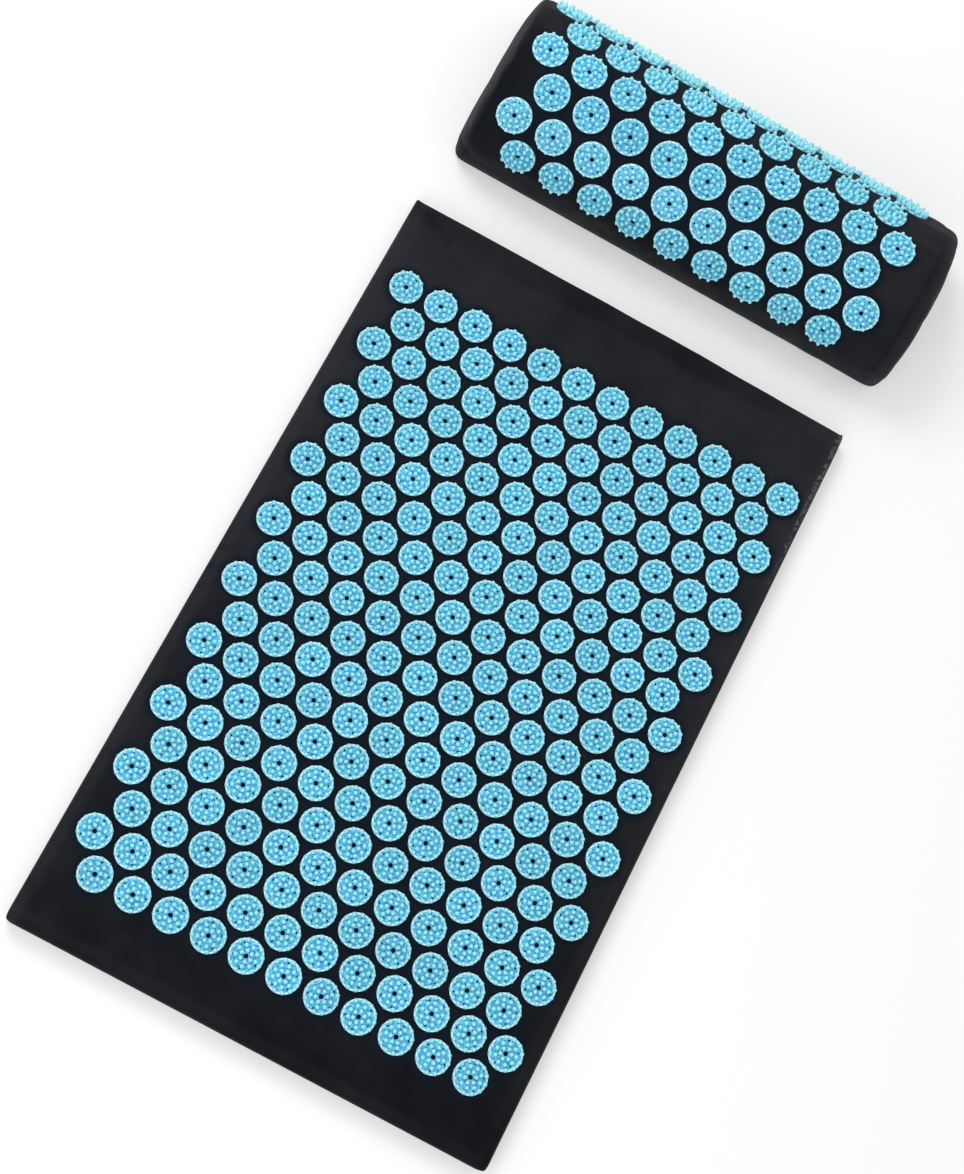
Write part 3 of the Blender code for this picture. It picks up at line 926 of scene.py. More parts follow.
def lieOfMat(place, low, high):
    # where a point of a true oblong lies on the sewn mat, whose edges drift
    along = min(max((place.y - low.y) / (high.y - low.y), 0), 1)
    across = min(max((place.x - low.x) / (high.x - low.x), 0), 1)
    left = between(along, (0, 1), matLook["leftDrift"])
    right = between(along, (0, 1), matLook["rightDrift"])
    foot = between(across, (0, 1), matLook["footDrift"])
    head = between(across, (0, 1), matLook["headDrift"])
    head += matLook["headBow"] * math.sin(math.pi * across)
    head *= rising(place.z, *matLook["headDriftRun"])  # the wall with the zip stays straight
    shift = (left + (right - left) * across, foot * (1 - along) + head * along, 0)
    return place + Vector(shift)


def dentAt(place, start, end, halfWidth, depth):
    # depth of a crease that runs from start to end, under a point
    run = end - start
    share = min(max((place - start).dot(run) / run.length_squared, 0), 1)
    away = (place - start - run * share).length / halfWidth
    return -depth * math.exp(-away * away) if away < 3 else 0.0


def addFoldRows(piece, foldY):
    # cuts across the mat, close together where it folds
    count = matLook["foldRows"]
    for n in range(-count, count + 1):
        with editing(piece):
            at = (0, foldY + n * matLook["foldStep"], 0)
            bpy.ops.mesh.bisect(plane_co=at, plane_no=(0, 1, 0))


def makeMatCover(paint):
    look = matLook
    footLow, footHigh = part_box("mat_bottom_cover_foot")
    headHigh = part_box("mat_bottom_cover_head")[1]
    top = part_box("mat_top_cover_foot")[1].z
    foldY = (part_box("mat_disc_row_10")[1].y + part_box("mat_disc_row_11")[0].y) / 2
    footY, headY = footLow.y, headHigh.y
    halfWidth = footHigh.x
    length = headY - footY
    middleY = (headY + footY) / 2
    margin = Vector((look["fieldEdge"], look["fieldEdge"]))
    fieldLow = Vector((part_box("mat_disc_row_02")[0].x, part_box("mat_disc_row_01")[0].y)) - margin
    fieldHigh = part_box("mat_disc_row_20")[1].to_2d() + margin

    bpy.ops.mesh.primitive_grid_add(
        x_subdivisions=look["cellsAcross"],
        y_subdivisions=look["cellsAlong"],
        size=1,
        location=(0, middleY, top),
    )
    cover = named("matCover")
    cover.scale = (2 * halfWidth, length, 1)
    settle(cover)
    with editing(cover, "FACE", lambda at, normal: True):
        extrude(0, 0, -top)
    with editing(cover, "EDGE", lambda a, b: abs(a.z - b.z) > top / 2):
        bpy.ops.mesh.subdivide(number_cuts=len(look["wallLevels"]) - 2)
    outwards(cover)

    cellX = 2 * halfWidth / look["cellsAcross"]
    cellY = length / look["cellsAlong"]
    tight = look["tightRows"]
    levels = look["wallLevels"]
    corner = look["footCorner"]
    near = look["near"]

    def squeezed(away, step):
        # the first rows beside an edge stand closer together
        if away > tight[-1]:
            return away
        return between(away, [n * step for n in range(4)] + [tight[-1]], tight)

    for point in cover.data.vertices:
        x, y, z = point.co
        side = squeezed(halfWidth - abs(x), cellX)
        fromFoot = squeezed(y - footY, cellY)
        fromHead = squeezed(headY - y, cellY)
        x = math.copysign(halfWidth - side, x)
        y = footY + fromFoot if y < middleY else headY - fromHead
        nearest = min(side, fromFoot)
        inset = 0.0
        if z > top - near:
            z = top - look["edgeRound"] + roundedOff(nearest, look["edgeRound"])
            z = min(z, top - look["headRound"] + roundedOff(fromHead, look["headRound"]))
        elif z > near:
            level = round(z / top * (len(levels) - 1))
            z = levels[level]
            if level == 1 and fromHead > cellY / 2:
                inset = -look["seamRise"]
        elif min(nearest, fromHead) < near:
            inset = look["baseInset"]
        over = Vector((abs(x) - (halfWidth - corner), footY + corner - y))
        if over.x > 0 and over.y > 0:
            over = over * (max(over) / over.length)
            x = math.copysign(halfWidth - corner + over.x, x)
            y = footY + corner - over.y
        centreX = math.copysign(halfWidth - corner, x)
        centreY = min(max(y, footY + corner), headY - corner)
        outward = (Vector((x, y, 0)) - Vector((centreX, centreY, 0))).normalized()
        point.co = (x - outward.x * inset, y - outward.y * inset, z)

    def inField(place):
        return fieldLow.x < place.x < fieldHigh.x and fieldLow.y < place.y < fieldHigh.y

    def isFlap(place):
        return place.z > top - look["flapBand"] and not inField(place)

    def fromEdges(place):
        return min(halfWidth - abs(place.x), place.y - footY, headY - place.y)

    def pucker(place):
        # how far a point lies beyond the pucker, and how strong that is there
        share = (place.x - footLow.x) / (footHigh.x - footLow.x)
        stops, inward, strength = zip(*look["pucker"])
        return place.y - (headY - between(share, stops, inward)), between(share, stops, strength)

    def free(place):
        if place.z < look["heldBelow"] or inField(place):
            return 0.0
        away = abs(pucker(place)[0])
        return rising(away, *look["heldPucker"]) * rising(fromEdges(place), *look["heldEdge"])

    def crumple(place):
        # the pucker, the flap sloping down behind it, wide soft waves and a faint crease at the fold
        if place.z < top - look["topBand"] or inField(place):
            return 0.0
        fromPucker, strength = pucker(place)
        pulled = streak(fromPucker, -look["puckerSink"] * strength, *look["puckerLine"])
        gather = streak(fromPucker, ruffle(place, *look["gather"]), *look["gatherLine"])
        flap = -look["flapDrop"] * rising(fromPucker, *look["flapRun"])
        wave = ruffle(place, *look["wave"])
        return pulled + gather + flap + wave + streak(place.y - foldY, *look["foldLine"])

    inFixedOrder(cover)
    for point in cover.data.vertices:
        point.co.z += crumple(point.co)
    puffUp(cover, free, look["growth"])
    for point in cover.data.vertices:
        point.co = lieOfMat(point.co, footLow, headHigh)
    print("mat cover shaped")

    def inSlot(at, normal):
        onHeadWall = normal.y > 0.8 and abs(at.y - headY) < 0.002
        inBand = levels[2] < at.z < levels[3]
        return onHeadWall and inBand and abs(at.x) < halfWidth - zipLook["endMargin"]

    def atCorner(place):
        return place.y > headY - look["headCorner"] and abs(place.x) > halfWidth - look["headCorner"]

    with editing(cover, "FACE", inSlot):
        cutPocket(zipLook["pocket"], zipLook["matRim"])
    with editing(cover, "EDGE", lambda a, b: abs(a.z - b.z) > near and atCorner(a) and atCorner(b)):
        bpy.ops.transform.edge_crease(value=1)
    giveStep(cover, "SUBSURF", levels=1, render_levels=1)
    addFoldRows(cover, foldY)

    creases = []
    for x1, y1, x2, y2, halfDent, deep in look["creases"]:
        creases.append((Vector((x1, headY + y1)), Vector((x2, headY + y2)), halfDent, deep))
    for point in cover.data.vertices:
        place = point.co
        if not isFlap(place):
            continue
        fromPucker, strength = pucker(place)
        drop = streak(fromPucker, -look["fineSink"] * strength, *look["fineLine"])
        drop += streak(fromPucker, ruffle(place, *look["fineGather"]), *look["fineGatherLine"])
        drop += ruffle(place, *look["ripple"])
        for crease in creases:
            drop += dentAt(place.to_2d(), *crease)
        fromWall = fromEdges(place)
        drop *= rising(fromWall, *look["wallRun"])
        deeper = look["wallSink"] * (1 - rising(fromWall, *look["wallSinkRun"]))
        point.co.z = max(point.co.z + drop, top - look["mostSink"] - deeper)

    def unroll(place, normal):
        if abs(normal.z) > 0.7:
            return place.x, place.y
        if abs(normal.x) > abs(normal.y):
            return place.z, place.y
        return place.x, place.z

    # how pale the cloth is painted at a point, with painted highlights and painted shade
    def palenessAt(place):
        along = (place.y - footY) / length
        across = place.x / halfWidth
        foot, head, left, sides = look["paleBase"]
        share = foot + head * smoothstep(along) - left * across * (1 - along)
        share += sides * across * across * along
        if place.z > top - look["topBand"]:
            # painted light: a lighter strip just inside the left edge
            share += streak(halfWidth + place.x, *look["leftLitStrip"])
            # a painted highlight along the rounded right and foot edges
            share += streak(min(halfWidth - place.x, place.y - footY), *look["edgeHighlight"])
            # a painted glint: a lighter patchy line along the right edge below the head corner
            base, drift, size = look["glintPatches"]
            patchy = base + drift * noise.noise(Vector((3.3, place.y * size, 0)))
            patchy *= rising(along, *look["glintRun"])
            share += patchy * streak(halfWidth - place.x, *look["edgeGlint"])
        if isFlap(place):
            fromPucker, strength = pucker(place)
            # painted shade along the pucker, in patches
            base, drift, size = look["puckerPatches"]
            patchy = base + drift * noise.noise(Vector((place.x * size, 5.5, 0)))
            share -= strength * patchy * streak(fromPucker, *look["puckerShade"])
            # beyond the pucker the flap gets painted shade towards the left and is lighter towards the
            # right
            beyond = rising(fromPucker, *look["beyondRun"])
            amount, start, run = look["beyondLeft"]
            share -= amount * beyond * (1 - rising(across, start, run))
            amount, start, run = look["beyondRight"]
            share += amount * beyond * rising(across, start, run)
            # painted shade in the creases, by their depth
            for crease in creases:
                share += look["creaseShade"] * dentAt(place.to_2d(), *crease)
        return share

    layCloth(cover, unroll)
    writeValues(cover, "paleness", [palenessAt(point.co) for point in cover.data.vertices])
    radius, rows = matDiscPlaces()
    centres = [at for row in rows for at in row]
    highUp = top - look["topBand"]
    shadeNearDiscs(cover, centres, radius, lambda at: (at.x, at.y) if at.z > highUp else None)
    setPaint(cover, paint)
    smoothUnder(cover, look["smooth"])
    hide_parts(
        "mat_top_cover_foot",
        "mat_top_cover_head",
        "mat_bottom_cover_foot",
        "mat_bottom_cover_head",
    )
    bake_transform(cover)
    return cover, foldY


def makeMatFoam(paint, foldY):
    look = matLook
    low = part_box("mat_foam_foot")[0] + Vector(look["foamLow"])
    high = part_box("mat_foam_head")[1] - Vector(look["foamHigh"])
    middle = (low + high) / 2
    tall = (high.z - low.z) / 2
    foam = block("matFoam", middle, high - low)
    with editing(foam, "EDGE", lambda a, b: abs(a.z - b.z) > tall and a.y < middle.y):
        bpy.ops.mesh.bevel(offset=look["foamCorner"], segments=4)
    with editing(foam, "EDGE", lambda a, b: min(a.z, b.z) > middle.z):
        bpy.ops.mesh.bevel(offset=look["foamEdge"], segments=4)
    addFoldRows(foam, foldY)
    for point in foam.data.vertices:
        point.co = lieOfMat(point.co, low, high)
    setPaint(foam, paint)
    smoothUnder(foam, look["foamSmooth"])
    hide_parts("mat_foam_foot", "mat_foam_head")
    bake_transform(foam)


def matDiscPlaces():
    # the discs' radius, and where each row's discs lie
    low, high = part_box("mat_disc_row_01")
    diameter = high.y - low.y
    rows = []
    for row in range(1, 21):
        low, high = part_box(f"mat_disc_row_{row:02d}")
        count = 12 if row % 2 == 0 else 11
        pitch = (high.x - low.x - diameter) / (count - 1)
        y = (low.y + high.y) / 2
        rows.append([(low.x + diameter / 2 + n * pitch, y) for n in range(count)])
    return diameter / 2, rows


def makeMatDiscs(paint):
    radius, rows = matDiscPlaces()
    source = oneDisc("matDisc", radius * 2)
    setPaint(source, paint)
    for row, centres in enumerate(rows, 1):
        node = f"mat_disc_row_{row:02d}"
        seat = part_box(node)[0].z
        places = [Matrix.Translation((x, y, seat)) for x, y in centres]
        made = discRow(source, f"matDiscRow{row:02d}", places, 100 + row)
        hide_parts(node)
        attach(made, "mat_foot_half" if row <= 10 else "mat_head_half")
    discard(source)
    print("mat discs set")


pillowLook = {
    "rise": 0.0250,
    "flat": 0.07776,
    "rowTurn": 22.9,
    "fieldTurn": 3.5,
    "rows": 7,
    "disc": 0.0306,
    "pitch": 0.0373,
    "leftMargin": 0.0170,
    "flatSteps": 6,
    "lengthCells": 70,
    # heights down the front and the back wall, and the base between its rounded edges
    "frontSteps": 7,
    "frontFoot": 0.0030,
    "underArch": (0.0066, 0.0132),
    "backLevels": (0.0150, 0.0118, 0.0034),
    "baseRound": 0.0022,
    "baseCells": 24,
    "endRound": 0.010,
    "endTurns": (22.5, 45, 67.5, 90),
    "endSize": 0.066,
    "endShares": (0.66, 0.48, 0.31, 0.16, 0.05),
    "endBulge": 0.0022,
    "endHeart": (0.002, 0.046),
    "growth": 0.011,
    "seat": 0.0003,
    "archFuller": 1.0065,
    "archLoose": (0.009, 0.007),
    # where the cloth is held: towards the floor, this far round the discs, and at the zip
    "heldFloor": (0.002, 0.016),
    "heldRim": 0.003,
    "heldZip": (0.06, 0.016),
    "loose": (0.0004, 24),
    "looseRun": (0.006, 0.030),
    # how far the ends reach past the flat ones, at these heights
    "reachAt": (0.0, 0.075, 0.100),
    "leftReach": (0.0032, -0.0028, -0.0060),
    "rightReach": (0.0085, 0.0050, 0.0033),
    "reachRun": (0.004, 0.022),
    # how far the front is tucked under along the floor, at the left and the right end, and up to where
    "frontTuck": (0.0021, 0.0079),
    "tuckTall": 0.024,
    "tuckDeep": 0.030,
    # slack cloth near the ends, and the sunk line of the end seam
    "slack": (0.0006, 40, 70),
    "seam": (-0.0006, 0.0016),
    # how pale the cloth is: a base, and more towards the right end
    "paleBase": (0.16, 0.22),
    # a painted highlight along each rounded end
    "endHighlight": (0.30, 0.002, 0.004),
    # painted shade low on the front
    "frontShade": (-0.34, 0.040, 0.026),
    # painted shade in the sunk end seam
    "seamShade": (-0.30, 0.002),
    "smooth": 60,
    # the foam keeps this far inside its solid, round the arch and at the ends
    "foamInset": (0.0030, 0.0045),
    "foamHeart": 0.040,
    "foamSmooth": 40,
}


def lieOfPillow(place, low, high):
    # where a point of the plain half-round lies on the sewn pillow
    look = pillowLook
    middleX = (low.x + high.x) / 2
    hand = -1 if place.x < middleX else 1
    reach = look["rightReach"] if hand > 0 else look["leftReach"]
    fromEnd = (high.x - low.x) / 2 - abs(place.x - middleX)
    out = between(place.z, look["reachAt"], reach) * (1 - rising(fromEnd, *look["reachRun"]))
    tuck = between(place.x, (low.x, high.x), look["frontTuck"])
    tuck *= max(0, 1 - place.z / look["tuckTall"]) ** 2
    tuck *= max(0, 1 - (place.y - low.y) / look["tuckDeep"])
    return place + Vector((hand * out, tuck, 0))


def arcCentreY():
    # the base panel runs from the front edge to the back edge of the arch
    look = pillowLook
    half = look["rows"] * look["rowTurn"] / 2
    corner = look["flat"] / math.cos(math.radians(look["rowTurn"] / 2))
    front = corner * math.sin(math.radians(look["fieldTurn"] - half))
    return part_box("pillow_base_panel")[0].y - front


def turnAt(place, centreY):
    # which way a point lies from the arch's centre, counted from straight up
    return math.atan2(place.y - centreY, place.z - pillowLook["rise"])


def pillowOutline(front, back):
    # the half-round section, from the front foot over the arch to the back foot and along the base
    look = pillowLook
    step = look["rowTurn"]
    arch = []
    for n in range(look["rows"] * look["flatSteps"] + 1):
        turn = n * step / look["flatSteps"] - look["rows"] * step / 2
        nearest = min(max(round(turn / step) * step, -3 * step), 3 * step)
        away = look["flat"] / math.cos(math.radians(turn - nearest))
        turn = math.radians(turn + look["fieldTurn"])
        arch.append((away * math.sin(turn), look["rise"] + away * math.cos(turn)))
    foot, count, rounding = look["frontFoot"], look["frontSteps"], look["baseRound"]
    points = [(front, foot + (arch[0][1] - foot) * n / count) for n in range(count)]
    points += [(max(min(y, back), front), z) for y, z in arch]
    points += [(back, arch[-1][1] - drop) for drop in look["underArch"]]
    points += [(back, z) for z in look["backLevels"]]
    across = front - back + 2 * rounding
    count = look["baseCells"]
    points += [(back - rounding + across * n / count, 0.0) for n in range(count)]
    return points + [(front + rounding, 0.0)]


def numberedByPlace(piece):
    # the rounded ends come out numbered, turned and rounded off a little differently each run, and
    # cloth then puffs up differently; so the mesh is made anew, with nothing left to chance
    mesh = piece.data
    spots = [tuple(round(value, 6) for value in point.co) for point in mesh.vertices]
    order = sorted(range(len(spots)), key=spots.__getitem__)
    rank = {old: new for new, old in enumerate(order)}
    faces = []
    for face in mesh.polygons:
        corners = [rank[n] for n in face.vertices]
        first = corners.index(min(corners))
        faces.append(corners[first:] + corners[:first])
    mesh.clear_geometry()
    mesh.from_pydata([spots[n] for n in order], [], sorted(faces))


def makePillowCover(paint):
    look = pillowLook
    low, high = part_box("pillow_base_panel")
    half = (high.x - low.x) / 2
    middleX = ((low + high) / 2).x
    centreY = arcCentreY()
    endRound = look["endRound"]
    outline = pillowOutline(low.y - centreY, high.y - centreY)
    count = len(outline)
    bpy.ops.mesh.primitive_cylinder_add(vertices=count, radius=1, depth=2, end_fill_type="NGON")
    cover = named("pillowCover")
    for point in cover.data.vertices:
        n = round(math.atan2(point.co.y, point.co.x) / math.tau * count) % count
        y, z = outline[n]
        point.co = (middleX + math.copysign(half - endRound, point.co.z), centreY + y, z)
    with editing(cover, "EDGE", lambda a, b: abs(a.x - b.x) > half):
        bpy.ops.mesh.subdivide(number_cuts=look["lengthCells"] - 1)
    outwards(cover)

    # each step of an end: how far out, and how large the panel's outline still is there
    steps = []
    for turn in look["endTurns"]:
        turn = math.radians(turn)
        steps.append((endRound * math.sin(turn), 1 - endRound * (1 - math.cos(turn)) / look["endSize"]))
    for share in look["endShares"]:
        out, before = steps[-1]
        steps.append((out + look["endBulge"] * (before ** 2 - share ** 2), share))
    heartY, heartZ = look["endHeart"]
    for hand in (-1, 1):
        about = (middleX + hand * half, centreY + heartY, heartZ)
        with editing(cover, "FACE", lambda at, normal: normal.x * hand > 0.9):
            before, size = 0.0, 1.0
            for out, share in steps:
                extrude(hand * (out - before), 0, 0)
                scalePick((1, share / size, share / size), about)
                before, size = out, share
            bpy.ops.mesh.merge(type="CENTER")
    for point in cover.data.vertices:
        point.co.z = max(point.co.z, 0.0)
    outwards(cover)
    numberedByPlace(cover)

    def fromEnd(place):
        return half - abs(place.x - middleX)

    def degreesAt(place):
        return math.degrees(turnAt(place, centreY)) - look["fieldTurn"]

    def inRows(place):
        return place.z >= look["rise"] and abs(degreesAt(place)) <= look["rowTurn"] * 3.5

    for point in cover.data.vertices:
        place = point.co
        if not inRows(place):
            continue
        turn = degreesAt(place)
        fromFlat = math.radians(turn - round(turn / look["rowTurn"]) * look["rowTurn"])
        loose = 1 - rising(fromEnd(place), *look["archLoose"])
        share = 1 + (look["archFuller"] * math.cos(fromFlat) - 1) * loose
        place.y = centreY + (place.y - centreY) * share
        place.z = look["rise"] + (place.z - look["rise"]) * share

    fieldX = middleX - half + look["leftMargin"]
    fieldEnd = fieldX + 9 * look["pitch"] + look["disc"]
    rim = look["heldRim"]
    behind, height = look["heldZip"]

    def free(place):
        inField = inRows(place) and fieldX - rim < place.x < fieldEnd + rim
        if inField or place.y > centreY + behind and place.z < height:
            return 0.0
        return rising(place.z, *look["heldFloor"])

    amount, waves = look["loose"]
    for point in cover.data.vertices:
        if free(point.co) > 0.1:
            loose = amount * rising(point.co.z, *look["looseRun"])
            point.co += loose * noise.noise_vector(point.co * waves)
    puffUp(cover, free, look["growth"])
    for point in cover.data.vertices:
        point.co = lieOfPillow(point.co, low, high)
    print("pillow cover shaped")

    def inSlot(at, normal):
        onBack = normal.y > 0.8 and at.y > high.y - 0.004
        atZip = abs(at.z - zipLook["pillowZ"]) < zipLook["pillowSlot"]
        return onBack and atZip and fromEnd(at) > endRound + zipLook["endMargin"]

    with editing(cover, "FACE", inSlot):
        cutPocket(zipLook["pocket"], zipLook["pillowRim"])
    giveStep(cover, "SUBSURF", levels=1, render_levels=1)
    for point in cover.data.vertices:
        place = point.co
        if place.z > 0.016 and fromEnd(place) < look["leftMargin"]:
            rise, along, across = look["slack"]
            at = Vector((place.x * along, place.y * across, place.z * across))
            depth, width = look["seam"]
            shift = rise * noise.noise(at) + streak(fromEnd(place), depth, endRound, width)
            out = Vector((0, place.y - centreY, place.z - look["rise"])).normalized()
            point.co += out * shift

    def overArch(place):
        return place.x, turnAt(place, centreY) * look["flat"]

    def unroll(place, normal):
        if abs(normal.x) > 0.75:
            return place.y, place.z
        if normal.z < -0.7:
            return place.x, place.y
        return overArch(place)

    # how pale the cloth is painted at a point, with a painted highlight and painted shade
    def palenessAt(place):
        base, right = look["paleBase"]
        share = base + right * smoothstep((place.x - middleX) / half)
        # a painted highlight along each rounded end
        share += streak(fromEnd(place), *look["endHighlight"])
        # painted shade low on the front
        if place.y < centreY:
            amount, height, run = look["frontShade"]
            share += amount * smoothstep((height - place.z) / run)
        # painted shade in the sunk end seam
        amount, width = look["seamShade"]
        return share + streak(fromEnd(place), amount, endRound, width)

    layCloth(cover, unroll)
    writeValues(cover, "paleness", [palenessAt(point.co) for point in cover.data.vertices])
    centres = [(x, turn * look["flat"]) for turn, row in pillowDiscPlaces() for x in row]
    shadeNearDiscs(cover, centres, look["disc"] / 2, overArch)
    setPaint(cover, paint)
    smoothUnder(cover, look["smooth"])
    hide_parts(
        "pillow_arched_cover",
        "pillow_base_panel",
        "pillow_left_end_panel",
        "pillow_right_end_panel",
    )
    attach(cover, "pillow")
    return cover


def makePillowFoam(paint):
    look = pillowLook
    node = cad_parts["pillow_foam_core"]
    foam = copyOf(node, "pillowFoam")
    for key in list(foam.keys()):
        if key.startswith("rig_"):
            del foam[key]
    foam.parent = None
    foam.matrix_world = node.matrix_world.copy()
    foam.hide_render = False
    settle(foam)
    with editing(foam):
        bpy.ops.mesh.remove_doubles(threshold=0.00001)
        bpy.ops.mesh.tris_convert_to_quads()
    outwards(foam)
    low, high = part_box("pillow_base_panel")
    middle = (low + high) / 2
    heart = Vector((0, middle.y, look["foamHeart"]))
    inset, endInset = look["foamInset"]
    for point in foam.data.vertices:
        inward = heart - Vector((0, point.co.y, point.co.z))
        shift = inward.normalized() * inset
        shift.x = -math.copysign(endInset, point.co.x - middle.x)
        point.co = lieOfPillow(point.co + shift, low, high)
    softened = math.radians(25)
    giveStep(foam, "BEVEL", width=0.0012, segments=2, limit_method="ANGLE", angle_limit=softened)
    setPaint(foam, paint)
    smoothUnder(foam, look["foamSmooth"])
    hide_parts("pillow_foam_core")
    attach(foam, "pillow")


def pillowDiscPlaces():
    # each row's turn round the arch, and where its discs lie along it
    look = pillowLook
    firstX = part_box("pillow_base_panel")[0].x + look["leftMargin"] + look["disc"] / 2
    rows = []
    for row in range(look["rows"]):
        count = 9 if row % 2 == 0 else 10
        start = firstX + (look["pitch"] / 2 if count == 9 else 0)
        turn = math.radians(look["fieldTurn"] + (row - 3) * look["rowTurn"])
        rows.append((turn, [start + n * look["pitch"] for n in range(count)]))
    return rows


def makePillowDiscs(paint):
    look = pillowLook
    source = oneDisc("pillowDisc", look["disc"])
    setPaint(source, paint)
    centreY = arcCentreY()
    away = look["flat"] + look["seat"]
    for row, (turn, line) in enumerate(pillowDiscPlaces()):
        y = centreY + away * math.sin(turn)
        z = look["rise"] + away * math.cos(turn)
        places = [Matrix.Translation((x, y, z)) @ Matrix.Rotation(-turn, 4, "X") for x in line]
        made = discRow(source, f"pillowDiscRow{row + 1}", places, 300 + row)
        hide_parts(f"pillow_disc_row_{row + 1}")
        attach(made, "pillow")
    discard(source)
    print("pillow discs set")


zipLook = {
    "endMargin": 0.0180,
    "pocket": 0.0044,
    "lip": 0.0006,
    "matRim": 0.0005,
    "pillowRim": 0.0004,
    "matZ": 0.00815,
    "pillowZ": 0.0076,
    "pillowSlot": 0.0039,
    "toothSize": (0.00088, 0.0021, 0.0014),
    "toothStep": 0.00130,
    "toothHead": 0.00028,
    "toothBevel": 0.00016,
    "channel": 0.00074,
    "coreRadius": 0.00042,
    "coreOff": 0.0005,
    "tapeCells": 60,
    "tapeWave": (0.00007, 90),
    "tapeHem": 0.00045,
    "tapeDip": (0.00015, -0.00012),
    "metalEdge": 0.00022,
    "stopEdge": 0.00030,
}


def zipTapes(prefix, body, paint):
    # two woven strips behind the slot, each with a ribbed edge
    amount, waves = zipLook["tapeWave"]
    wide, deep = zipLook["tapeDip"]
    strips = []
    for side in ("upper", "lower"):
        low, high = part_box(f"{prefix}_zip_tape_{side}")
        size = high - low
        strip = block("strip", (low + high) / 2, size)
        with editing(strip, "EDGE", lambda a, b: abs(a.x - b.x) > size.x / 2):
            bpy.ops.mesh.subdivide(number_cuts=zipLook["tapeCells"] - 1)
        with editing(strip, "FACE", lambda at, normal: normal.y > 0.9):
            bpy.ops.mesh.inset(thickness=zipLook["tapeHem"], depth=0)
            bpy.ops.mesh.inset(thickness=wide, depth=deep)
        for point in strip.data.vertices:
            point.co.y += amount * noise.noise(point.co * waves)
        strips.append(strip)
    tapes = joinAll(strips, f"{prefix}ZipTapes")
    layCloth(tapes, lambda place, normal: (place.x, place.z))
    setPaint(tapes, paint)
    smoothUnder(tapes, 40)
    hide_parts(f"{prefix}_zip_tape_upper", f"{prefix}_zip_tape_lower")
    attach(tapes, body)


def oneTooth():
    # a loop of the coil, seen as a rounded bar with a hooked head
    tooth = block("tooth", (0, 0, 0), zipLook["toothSize"])
    with editing(tooth, "FACE", lambda at, normal: normal.z < -0.9):
        extrude(0, 0, -zipLook["toothHead"])
        scalePick((0.55, 0.7, 1), (0, 0, -0.001))
    with editing(tooth, "EDGE", lambda a, b: True):
        bpy.ops.mesh.bevel(offset=zipLook["toothBevel"], segments=1)
    return tooth


def zipTeeth(prefix, body, paint):
    # one coil along each tape; its teeth keep off the middle, where the slider's post runs
    wide, deep, tall = zipLook["toothSize"]
    step = zipLook["toothStep"]
    source = oneTooth()
    setPaint(source, paint)
    middleZ = (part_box(f"{prefix}_zip_coil_upper")[0].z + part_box(f"{prefix}_zip_coil_lower")[1].z) / 2
    for side, hand in (("upper", 1), ("lower", -1)):
        node = f"{prefix}_zip_coil_{side}"
        low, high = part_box(node)
        y = (low.y + high.y) / 2
        z = middleZ + hand * (zipLook["channel"] + zipLook["toothHead"] + tall / 2)
        turn = Matrix.Rotation(0 if hand > 0 else math.pi, 4, "X")
        parts = []
        for n in range(int((high.x - low.x - wide) / step) + 1):
            x = low.x + wide / 2 + n * step
            if hand < 0:
                x += step / 2  # the lower coil's teeth lie between the upper one's
                if x > high.x - wide / 2:
                    continue
            parts.append(copyOf(source, "toothCopy", Matrix.Translation((x, y, z)) @ turn))
        place = ((low.x + high.x) / 2, y, z + hand * zipLook["coreOff"])
        core = rod("core", 8, zipLook["coreRadius"], high.x - low.x, place, (0, math.pi / 2, 0))
        with editing(core, "FACE", lambda at, normal: abs(normal.x) > 0.9):
            bpy.ops.mesh.inset(thickness=0.00012, depth=0.00006)
        setPaint(core, paint)
        teeth = joinAll(parts + [core], f"{prefix}ZipTeeth{side.title()}")
        smoothUnder(teeth, 35)
        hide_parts(node)
        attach(teeth, body)
    discard(source)


def dressNode(name, paint, edge):
    # a CAD piece keeps its shape, gets softened edges and its finish
    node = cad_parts[name]
    weld = node.modifiers.new("weld", "WELD")
    weld.merge_threshold = 0.00001
    soften = node.modifiers.new("soften", "BEVEL")
    soften.width = edge
    soften.segments = 2
    soften.limit_method = "ANGLE"
    soften.angle_limit = math.radians(35)
    setPaint(node, paint)


def dressZip(prefix, body, weave, nylon, metal):
    zipTapes(prefix, body, weave)
    zipTeeth(prefix, body, nylon)
    for side in ("left", "right"):
        dressNode(f"{prefix}_zip_stop_{side}", nylon, zipLook["stopEdge"])
    for part in ("slider", "pull"):
        dressNode(f"{prefix}_zip_{part}", metal, zipLook["metalEdge"])
    print(prefix, "zip dressed")


stitchLook = {
    "step": 0.0034,
    "length": 0.0025,
    "radius": 0.00024,
    "dip": 0.9,
    "thinEnds": 0.4,
    "lift": 0.4,
    "longest": 1.6,
    # each zip's panel, how far under and over its middle the stitches run, and their end margin
    "mat": ("mat_bottom_cover_head", (-0.0052, 0.0052), 0.012),
    "pillow": ("pillow_base_panel", (-0.0052, 0.0056), 0.022),
}


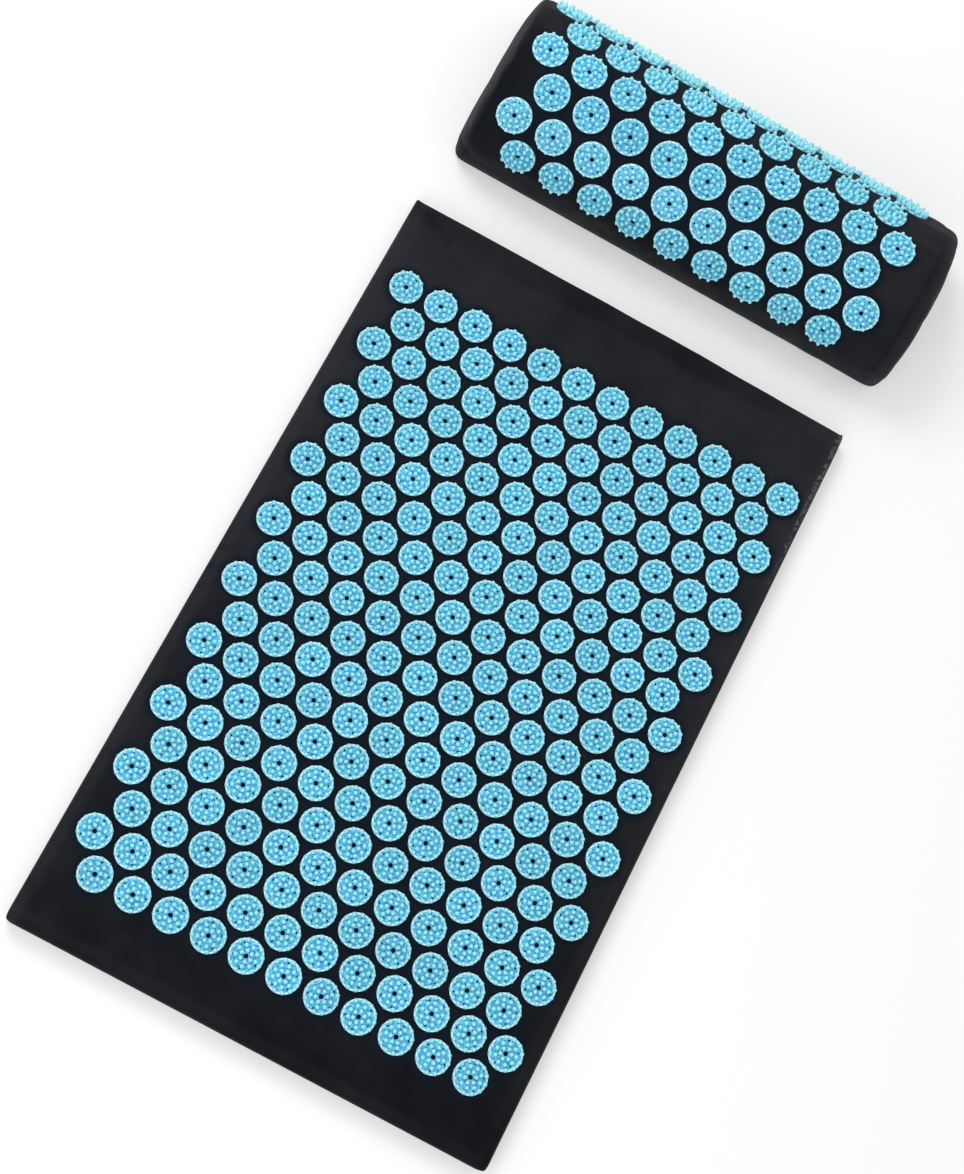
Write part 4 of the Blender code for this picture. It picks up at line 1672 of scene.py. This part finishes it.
def oneStitch():
    # a short run of thread that dips into the cloth at both ends
    look = stitchLook
    radius = look["radius"]
    stitch = rod("stitch", 6, radius, look["length"] * 0.6, turn=(0, math.pi / 2, 0))
    for hand in (-1, 1):
        out = hand * look["length"] * 0.2
        with editing(stitch, "FACE", lambda at, normal: normal.x * hand > 0.9):
            extrude(out, 0, -radius * look["dip"])
            thin = look["thinEnds"]
            scalePick((1, thin, thin), (out, 0, -radius * look["dip"]))
    return stitch


def sewLine(name, cover, starts, body, paint):
    # stitches from point to point, laid where a ray towards the foot end meets the cloth
    look = stitchLook
    bpy.context.view_layer.update()
    source = oneStitch()
    setPaint(source, paint)
    hits = []
    for start in starts:
        found, at, normal, index = cover.ray_cast(start, Vector((0, -1, 0)))
        hits.append((at, normal) if found else None)
    parts = []
    for here, there in zip(hits, hits[1:]):
        if not here or not there:
            continue
        run = there[0] - here[0]
        if run.length > look["step"] * look["longest"]:
            continue
        along = run.normalized()
        side = here[1].cross(along).normalized()
        up = along.cross(side)
        turn = Matrix((along, side, up)).transposed().to_4x4()
        place = Matrix.Translation(here[0] + run / 2 + up * look["radius"] * look["lift"]) @ turn
        parts.append(copyOf(source, "stitchCopy", place))
    discard(source)
    line = joinAll(parts, name)
    smoothUnder(line, 50)
    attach(line, body)


def sewZip(prefix, cover, body, paint):
    panel, offs, margin = stitchLook[prefix]
    step = stitchLook["step"]
    middleZ = zipLook[f"{prefix}Z"]
    low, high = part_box(panel)
    count = int((high.x - low.x - 2 * margin) / step)
    for word, off in zip(("Lower", "Upper"), offs):
        y, z = high.y + 0.05, middleZ + off
        starts = [Vector((low.x + margin + n * step, y, z)) for n in range(count)]
        sewLine(f"{prefix}ZipStitches{word}", cover, starts, body, paint)


addCamera()
addSky()
addLamp("keyLamp")
addLamp("fillLamp")
addFloor()
print("camera, lamps and floor placed")

cotton = makeCotton()
plastic = makePlastic()
whiteFoam = makeFoam()
nylon = makeNylon()
tapeWeave = makeTape()
zipMetal = makeMetal()
thread = makeThread()

matCover, foldLine = makeMatCover(cotton)
makeMatFoam(whiteFoam, foldLine)
makeMatDiscs(plastic)
sewZip("mat", matCover, "mat_head_half", thread)
dressZip("mat", "mat_head_half", tapeWeave, nylon, zipMetal)
pillowCover = makePillowCover(cotton)
makePillowFoam(whiteFoam)
makePillowDiscs(plastic)
sewZip("pillow", pillowCover, "pillow", thread)
dressZip("pillow", "pillow", tapeWeave, nylon, zipMetal)
